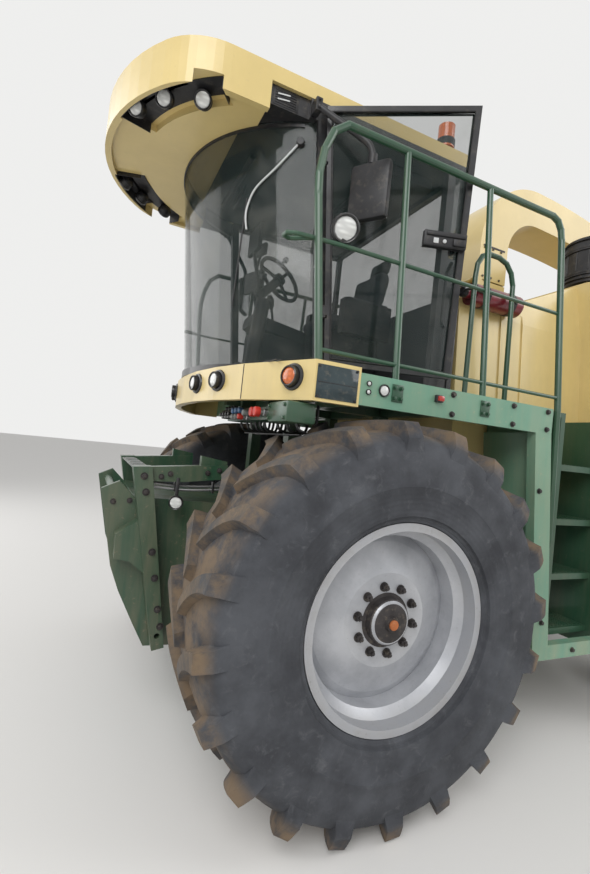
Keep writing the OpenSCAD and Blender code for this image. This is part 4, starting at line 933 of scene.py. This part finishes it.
class HARVESTER_OT_carrier(bpy.types.Operator):
    """Lamp, tubes, plate and bolts of the header carrier"""
    bl_idname = "harvester.carrier"
    bl_label = "Header carrier"

    def execute(self, context):
        bolts, tubes, holders = Form(), Form(), Form()
        for side, sign in SIDES:
            bolts.sign = tubes.sign = holders.sign = sign
            bolts.bolts([(x, 590, z) for x, z in (
                (1128, 1560), (1110, 1470), (1040, 1130), (1010, 980), (975, 800), (950, 700))],
                Y, 0.03, 0.016)
            bolts.bolts([(x, 560, z) for x, z in ((760, 1600), (690, 1620), (980, 1580), (1030, 1560))], Y)
            bolts.bolts([(x, 460.2, z) for x, z in (
                (560, 600), (760, 600), (560, 1330), (760, 1330), (1180, 1400), (1270, 1390), (560, 960))], Y)
            for up in (0, 22):
                tubes.pipe([(x, 505, z + up) for x, z in (
                    (640, 1500), (860, 1480), (1020, 1492), (1100, 1500))], 0.008)
            for x in (700, 930, 1060):
                holders.box((x, 491, 1474), (x + 14, 519, 1545), 0.003)
            holders.box((922, 555, 1400), (942, 565, 1560), 0.002)
            disc_lamp(spot(932, sign * 566, 1414), (0.35, sign, -0.12), 0.04,
                      "carrier_lamp_" + side, depth=0.02)
            holders.ring([(0, -0.034), (0.02, -0.034), (0.036, -0.02), (0.041, 0), (0, 0)],
                         (932, 566, 1414), (0.35, 1, -0.12), 32)
        bolts.done("carrier_bolts", "bolt")
        tubes.done("carrier_tubes", "bare_steel")
        holders.done("carrier_clips", "black_metal", slot="steel")
        plate = Form()
        plate.box((1085, -481, 1590), (1180, 481, 1600), 0.002, 0.05)
        for y in range(-420, 341, 190):
            plate.box((1100, y, 1598), (1165, y + 80, 1606), 0.003, 0.05)
        plate.done("carrier_plate", "grey_plate", slot="steel", smooth=0)
        return {"FINISHED"}


class HARVESTER_OT_mirrors(bpy.types.Operator):
    """Rounded mirrors on bent arms, in place of the plain ones"""
    bl_idname = "harvester.mirrors"
    bl_label = "Mirrors"

    def execute(self, context):
        housings = Form()
        x, y, z = MIRROR
        for side, sign in SIDES:
            housings.sign = sign
            housings.box((x - 29.5, y - 119.5, z - 164.5), (x + 29.5, y + 119.5, z + 164.5),
                         0.026, MIRROR_TURN, "Z")
            housings.box((433, 902, 3711), (474, 968, 3789), 0.006)
            housings.pipe([(170, 1130, 3400), (172, 1130, 3450), (185, 1124, 3515), (240, 1088, 3570),
                           (380, 994, 3685), (452, 950, 3745)], 0.0185, 20)
            housings.ring([(0.018, -0.03), (0.026, -0.028), (0.026, 0.028), (0.018, 0.03)],
                          (171, 1130, 3437), Z, 28)
            housings.bolts([(454, 968, 3728), (454, 968, 3772)], Y, 0.014, 0.007)
            glass = Form(turned=Matrix.Translation(housings.at(MIRROR))
                         @ Matrix.Rotation(sign * MIRROR_TURN, 4, "Z"))
            glass.box((-31.5, -105, -150), (-28, 105, 150), 0.001)
            glass.done("mirror_glass_" + side, "mirror")
        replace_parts(housings.done("mirror_housings"), "mirrors")
        return {"FINISHED"}


class HARVESTER_OT_door(bpy.types.Operator):
    """Seals, handle and lock of the opened door"""
    bl_idname = "harvester.door"
    bl_label = "Door fittings"

    def execute(self, context):
        swung = (Matrix.Translation(spot(*DOOR_HINGE)) @ Matrix.Rotation(LEAN, 4, "Y")
                 @ Matrix.Rotation(-DOOR_REST, 4, "Z") @ Matrix.Rotation(-LEAN, 4, "Y")
                 @ Matrix.Translation((0, 0, -FLOOR_Z / 1000)))
        seal = Form(turned=swung)
        loop = [(-29, 2345), (-709, 2345), (-720, 3885), (118, 3750)]
        for y in (-16.5, 16.5):
            for (x0, z0), (x1, z1) in zip(loop, loop[1:] + loop[:1]):
                seal.rod((x0, y, z0), (x1, y, z1), 0.0055, 12)
                bmesh.ops.create_uvsphere(seal.bm, u_segments=12, v_segments=8, radius=0.0056,
                                          matrix=Matrix.Translation(seal.at((x0, y, z0))))
        seal.done("door_seal", "hose", "door")
        grip = Form(turned=swung)
        grip.box((-742, 44, 3063), (-488, 49, 3147), 0.002)
        grip.box((-735, 47, 3118), (-500, 58, 3142), 0.006)
        grip.box((-735, 47, 3070), (-660, 62, 3112), 0.008)
        grip.box((-700, -45, 3050), (-668, -14, 3180), 0.008)
        grip.pipe([(-690, y, z) for y, z in (
            (-30, 2620), (-70, 2640), (-75, 2750), (-75, 2930), (-70, 2980), (-14, 3000))], 0.011)
        grip.done("door_grip", body="door")
        bits = Form(turned=swung)
        bits.box((-575, 48, 3078), (-545, 50.5, 3108), 0.001)
        bits.rod((-610, 48, 3092), (-610, 54, 3092), 0.011, bevel=0.001)
        bits.done("door_lock", "pale_metal", "door")
        pins = Form()
        for height in (0.3635, 1.2435):
            foot = spot(*DOOR_HINGE) + LEAN_AXIS * height
            pins.rod(foot, foot + LEAN_AXIS * 0.0075, 0.014, 20, 0.002)
        pins.done("door_pin_heads", "bolt")
        return {"FINISHED"}


class HARVESTER_OT_flanks(bpy.types.Operator):
    """Latches, seams, grilles, lamps and treads along the machine's sides and rear"""
    bl_idname = "harvester.flanks"
    bl_label = "Flank fittings"

    def execute(self, context):
        for side, sign in SIDES:
            lid = "hood_door_" + side
            grille = Form(sign)
            for x0, x1, z0, z1 in ((-4480, -3560, 2240, 2860), (-3280, -2320, 2440, 2860)):
                grille.box((x0, LID_Y - 1, z0), (x1, LID_Y + 4, z1), 0.002)
                for z in range(z0 + 26, z1 - 35, 31):
                    grille.box((x0 + 18, LID_Y + 2, z), (x1 - 18, LID_Y + 14, z + 5), 0.0015, -0.5, "X")
            grille.done("side_grille_" + side, body=lid, smooth=0)
            grips = Form(sign)
            for x in (-4250, -2600):
                grips.ring([(0, 0.012), (0.02, 0.011), (0.03, 0.006), (0.033, 0), (0, 0)],
                           (x, LID_Y, 1700), Y, 32)
                grips.box((x - 8, LID_Y + 10, 1672), (x + 8, LID_Y + 20, 1728), 0.004)
            grips.done("lid_latches_" + side, body=lid)
            seams = Form(sign)
            for x0, x1, z0, z1 in (
                    (-4571, -4561, 1650, 2900), (-2133, -2123, 1650, 2900), (-4560, -2130, 1642, 1652)):
                seams.box((x0, LID_Y - 0.5, z0), (x1, LID_Y + 2, z1), 0.0005)
            seams.done("lid_edges_" + side, body=lid, smooth=0)
            shoulder = Form(sign)
            shoulder.bolts([(x, LID_Y, 2965) for x in range(-4460, -2159, 230)], Y, 0.014, 0.007)
            shoulder.done("shoulder_bolts_" + side, "bolt")
            ribs = Form(sign)
            for z in (799, 1159, 1519, 1879):
                for x in range(-1780, -1372, 37):
                    ribs.box((x, 975, z), (x + 8, 1240, z + 5), 0.001)
            for x in range(-1090, 158, 43):
                ribs.box((x, 965, 2206), (x + 10, 1290, 2210), 0.001)
            ribs.done("treads_" + side, "dark_green", smooth=0)
            clamps = Form(sign)
            face = EDGE_Y + 6
            for x in (38, -565):
                clamps.box((x - 34, EDGE_Y, 2090), (x + 34, face, 2180), 0.003)
                clamps.bolts([(x + dx, face, z) for dx in (-20, 20) for z in (2108, 2162)], Y, 0.018, 0.01)
            clamps.done("rail_clamps_" + side, "dark_green")
            lamps = Form(sign)
            lamps.box((-4716, 1000, 1660), (-4698, 1260, 1760), 0.006)
            lamps.done("rear_lamp_body_" + side)
            for name, y, glass in (("stop", 1200, "red_lens"), ("turn", 1110, "amber_lens")):
                piece = Form(sign)
                piece.box((-4720, y - 38, 1676), (-4712, y + 38, 1744), 0.004)
                piece.done("rear_lamp_%s_%s" % (name, side), glass)
        gate = Form()
        gate.ring([(0, 0.012), (0.024, 0.011), (0.034, 0.006), (0.038, 0), (0, 0)],
                  (-4700, -800, 2200), (-1, 0, 0), 32)
        gate.box((-4722, -812, 2150), (-4710, -788, 2250), 0.004)
        gate.done("gate_latch", body="tailgate")
        return {"FINISHED"}


class HARVESTER_OT_fittings(bpy.types.Operator):
    """Extinguisher valve and straps, air cleaner clamps and bolts of the spout"""
    bl_idname = "harvester.fittings"
    bl_label = "Loose fittings"

    def execute(self, context):
        y, z = BOTTLE_Y, BOTTLE_Z
        straps = Form()
        for x in (-1165, -920):
            straps.ring([(0.0735, -0.016), (0.0785, -0.016), (0.0785, 0.016), (0.0735, 0.016)],
                        (x, y, z), X, 40)
            straps.box((x - 14, y + 62, z - 13), (x + 14, y + 86, z + 13), 0.003)
        straps.ring([(0, -0.012), (0.03, -0.012), (0.036, 0), (0.036, 0.02), (0.028, 0.03), (0, 0.03)],
                    (-772, y, z), X, 32)
        straps.box((-742, y - 10, z + 15), (-660, y + 10, z + 25), 0.004, 0.3)
        straps.box((-742, y - 9, z - 15), (-670, y + 9, z - 7), 0.003, -0.15)
        straps.pipe([(-745, y + 20, z - 3), (-735, y + 62, z), (-790, y + 92, z - 5), (-880, y + 88, z - 15),
                     (-905, y + 84, z - 17)], 0.009)
        straps.done("bottle_straps")
        dial = Form()
        dial.ring([(0, 0.008), (0.012, 0.008), (0.015, 0.004), (0.015, 0), (0, 0)],
                  (-757, y + 34, z + 10), (0, 1, 0.3), 24)
        dial.done("bottle_dial", "pale_metal")
        cleaner = Form()
        for low in (0.085, 0.135, 0.345, 0.41):
            high = low + 0.008
            cleaner.ring([(0.236, low), (0.2555, low), (0.2555, high), (0.236, high)], CLEANER, Z, 64)
        for k in range(16):
            foot, top = (around(CLEANER, 239.5, k, 16, z) for z in (165, 320))
            cleaner.rod(foot, top, 0.006, 10)
        for k in range(4):
            foot, top = (around(CLEANER, 255, k + 0.5, 4, z) for z in (300, 380))
            cleaner.rod(foot, top, 0.01, 12, 0.002)
        cleaner.ring([(0, 0.437), (0.1, 0.452), (0.19, 0.449), (0.23, 0.44), (0.23, 0.437)], CLEANER, Z, 64)
        cleaner.done("cleaner_clamps")
        bolts = Form()
        for k in range(24):
            bolts.head(around((-1715, 0, 3290), 322.5, k, 24, 0), Z, 0.02, 0.01)
        bolts.done("ring_bolts", "bolt", "spout_turret")
        seams = Form()
        for sign in (1, -1):
            seams.sign = sign
            for x in (-1800, -1700, -1600):
                seams.head((x, 220, 3510), Y, 0.02, 0.01)
                seams.head((x, 220, 3770), Y, 0.02, 0.01)
            seams.box((-1845, 219, 3780), (-1585, 224, 3796), 0.001)
        seams.done("spout_bolts", "bolt", "spout")
        return {"FINISHED"}


class HARVESTER_OT_stage(bpy.types.Operator):
    """Floor, backdrop, lights and the camera"""
    bl_idname = "harvester.stage"
    bl_label = "Stage"

    def execute(self, context):
        scene = context.scene
        setup = scene.harvester_stage
        Paint("floor", roughness=0.9).colour(tuple(setup.ground))
        floor = Form()
        bmesh.ops.create_grid(floor.bm, x_segments=1, y_segments=1, size=60)
        ground = floor.held("floor")
        ground.data.materials.append(MATERIALS["floor"])
        scene.world = bpy.data.worlds.new("studio")
        sky = Tree(scene.world)
        lit = sky.nodes["Background"]
        lit.inputs["Color"].default_value = (1, 1, 1, 1)
        lit.inputs["Strength"].default_value = 0.55
        seen = sky.node("ShaderNodeBackground", {}, {"Color": (0.86, 0.86, 0.85), "Strength": 1.0})
        rays = sky.nodes.new("ShaderNodeLightPath").outputs
        camera_ray, through, glossy = (
            Wire(sky, rays["Is %s Ray" % kind]) for kind in ("Camera", "Transmission", "Glossy"))
        shown = camera_ray.math("MAXIMUM", through).math("MAXIMUM", glossy)
        mix = sky.node("ShaderNodeMixShader", {}, {0: shown, 1: Wire(sky, lit.outputs[0]), 2: seen})
        sky.feed(sky.nodes["World Output"].inputs["Surface"], mix)
        for name, place, power, size, aim in (
                ("key", (7.5, 7.5, 8.0), 620, 6.0, (1.5, 0, 1.6)),
                ("fill", (9.0, -5.0, 5.0), 260, 7.0, (1.5, 0, 1.5)),
                ("back", (-7.0, 6.0, 7.5), 330, 6.0, (-1, 0, 1.8))):
            data = bpy.data.lights.new(name, "AREA")
            data.energy = power
            data.size = size
            lamp = bpy.data.objects.new(name, data)
            lamp.location = place
            lamp.rotation_euler = (Vector(aim) - Vector(place)).to_track_quat("-Z", "Y").to_euler()
            scene.collection.objects.link(lamp)
        data = bpy.data.cameras.new("camera")
        data.lens = setup.focal
        data.sensor_width = 36
        data.sensor_fit = "AUTO"
        data.clip_start = 0.05
        camera = bpy.data.objects.new("camera", data)
        yaw, pitch, roll = (math.radians(a) for a in (-114.15, 1.35, 5.96))
        ahead = Vector((math.cos(yaw) * math.cos(pitch), math.sin(yaw) * math.cos(pitch), math.sin(pitch)))
        level = Vector((math.sin(yaw), -math.cos(yaw), 0))
        upright = level.cross(ahead)
        right = math.cos(roll) * level + math.sin(roll) * upright
        up = -math.sin(roll) * level + math.cos(roll) * upright
        turned = Matrix((right, up, -ahead)).transposed()
        camera.matrix_world = Matrix.Translation(spot(1441, 3306, 1807)) @ turned.to_4x4()
        scene.collection.objects.link(camera)
        scene.camera = camera
        scene.view_settings.view_transform = "Standard"
        return {"FINISHED"}


class HARVESTER_PT_panel(bpy.types.Panel):
    """Lists the steps in the sidebar"""
    bl_label = "Harvester"
    bl_space_type = "VIEW_3D"
    bl_region_type = "UI"
    bl_category = "Harvester"

    def draw(self, context):
        layout = self.layout
        for step in STEPS:
            layout.operator(step.bl_idname)
        for group in (context.scene.harvester_finishes, context.scene.harvester_stage):
            for key in group.__annotations__:
                layout.prop(group, key)


STEPS = (
    HARVESTER_OT_stage,
    HARVESTER_OT_finishes,
    HARVESTER_OT_tyres,
    HARVESTER_OT_wheels,
    HARVESTER_OT_roof,
    HARVESTER_OT_cab,
    HARVESTER_OT_front,
    HARVESTER_OT_carrier,
    HARVESTER_OT_mirrors,
    HARVESTER_OT_door,
    HARVESTER_OT_flanks,
    HARVESTER_OT_fittings,
)
CLASSES = (Finishes, Stage, *STEPS, HARVESTER_PT_panel)


def register():
    for each in CLASSES:
        bpy.utils.register_class(each)
    bpy.types.Scene.harvester_finishes = bpy.props.PointerProperty(type=Finishes)
    bpy.types.Scene.harvester_stage = bpy.props.PointerProperty(type=Stage)


def unregister():
    del bpy.types.Scene.harvester_finishes
    del bpy.types.Scene.harvester_stage
    for each in reversed(CLASSES):
        bpy.utils.unregister_class(each)


def main():
    register()
    for step in STEPS:
        group, name = step.bl_idname.split(".")
        getattr(getattr(bpy.ops, group), name)()


if __name__ == "__main__":
    main()
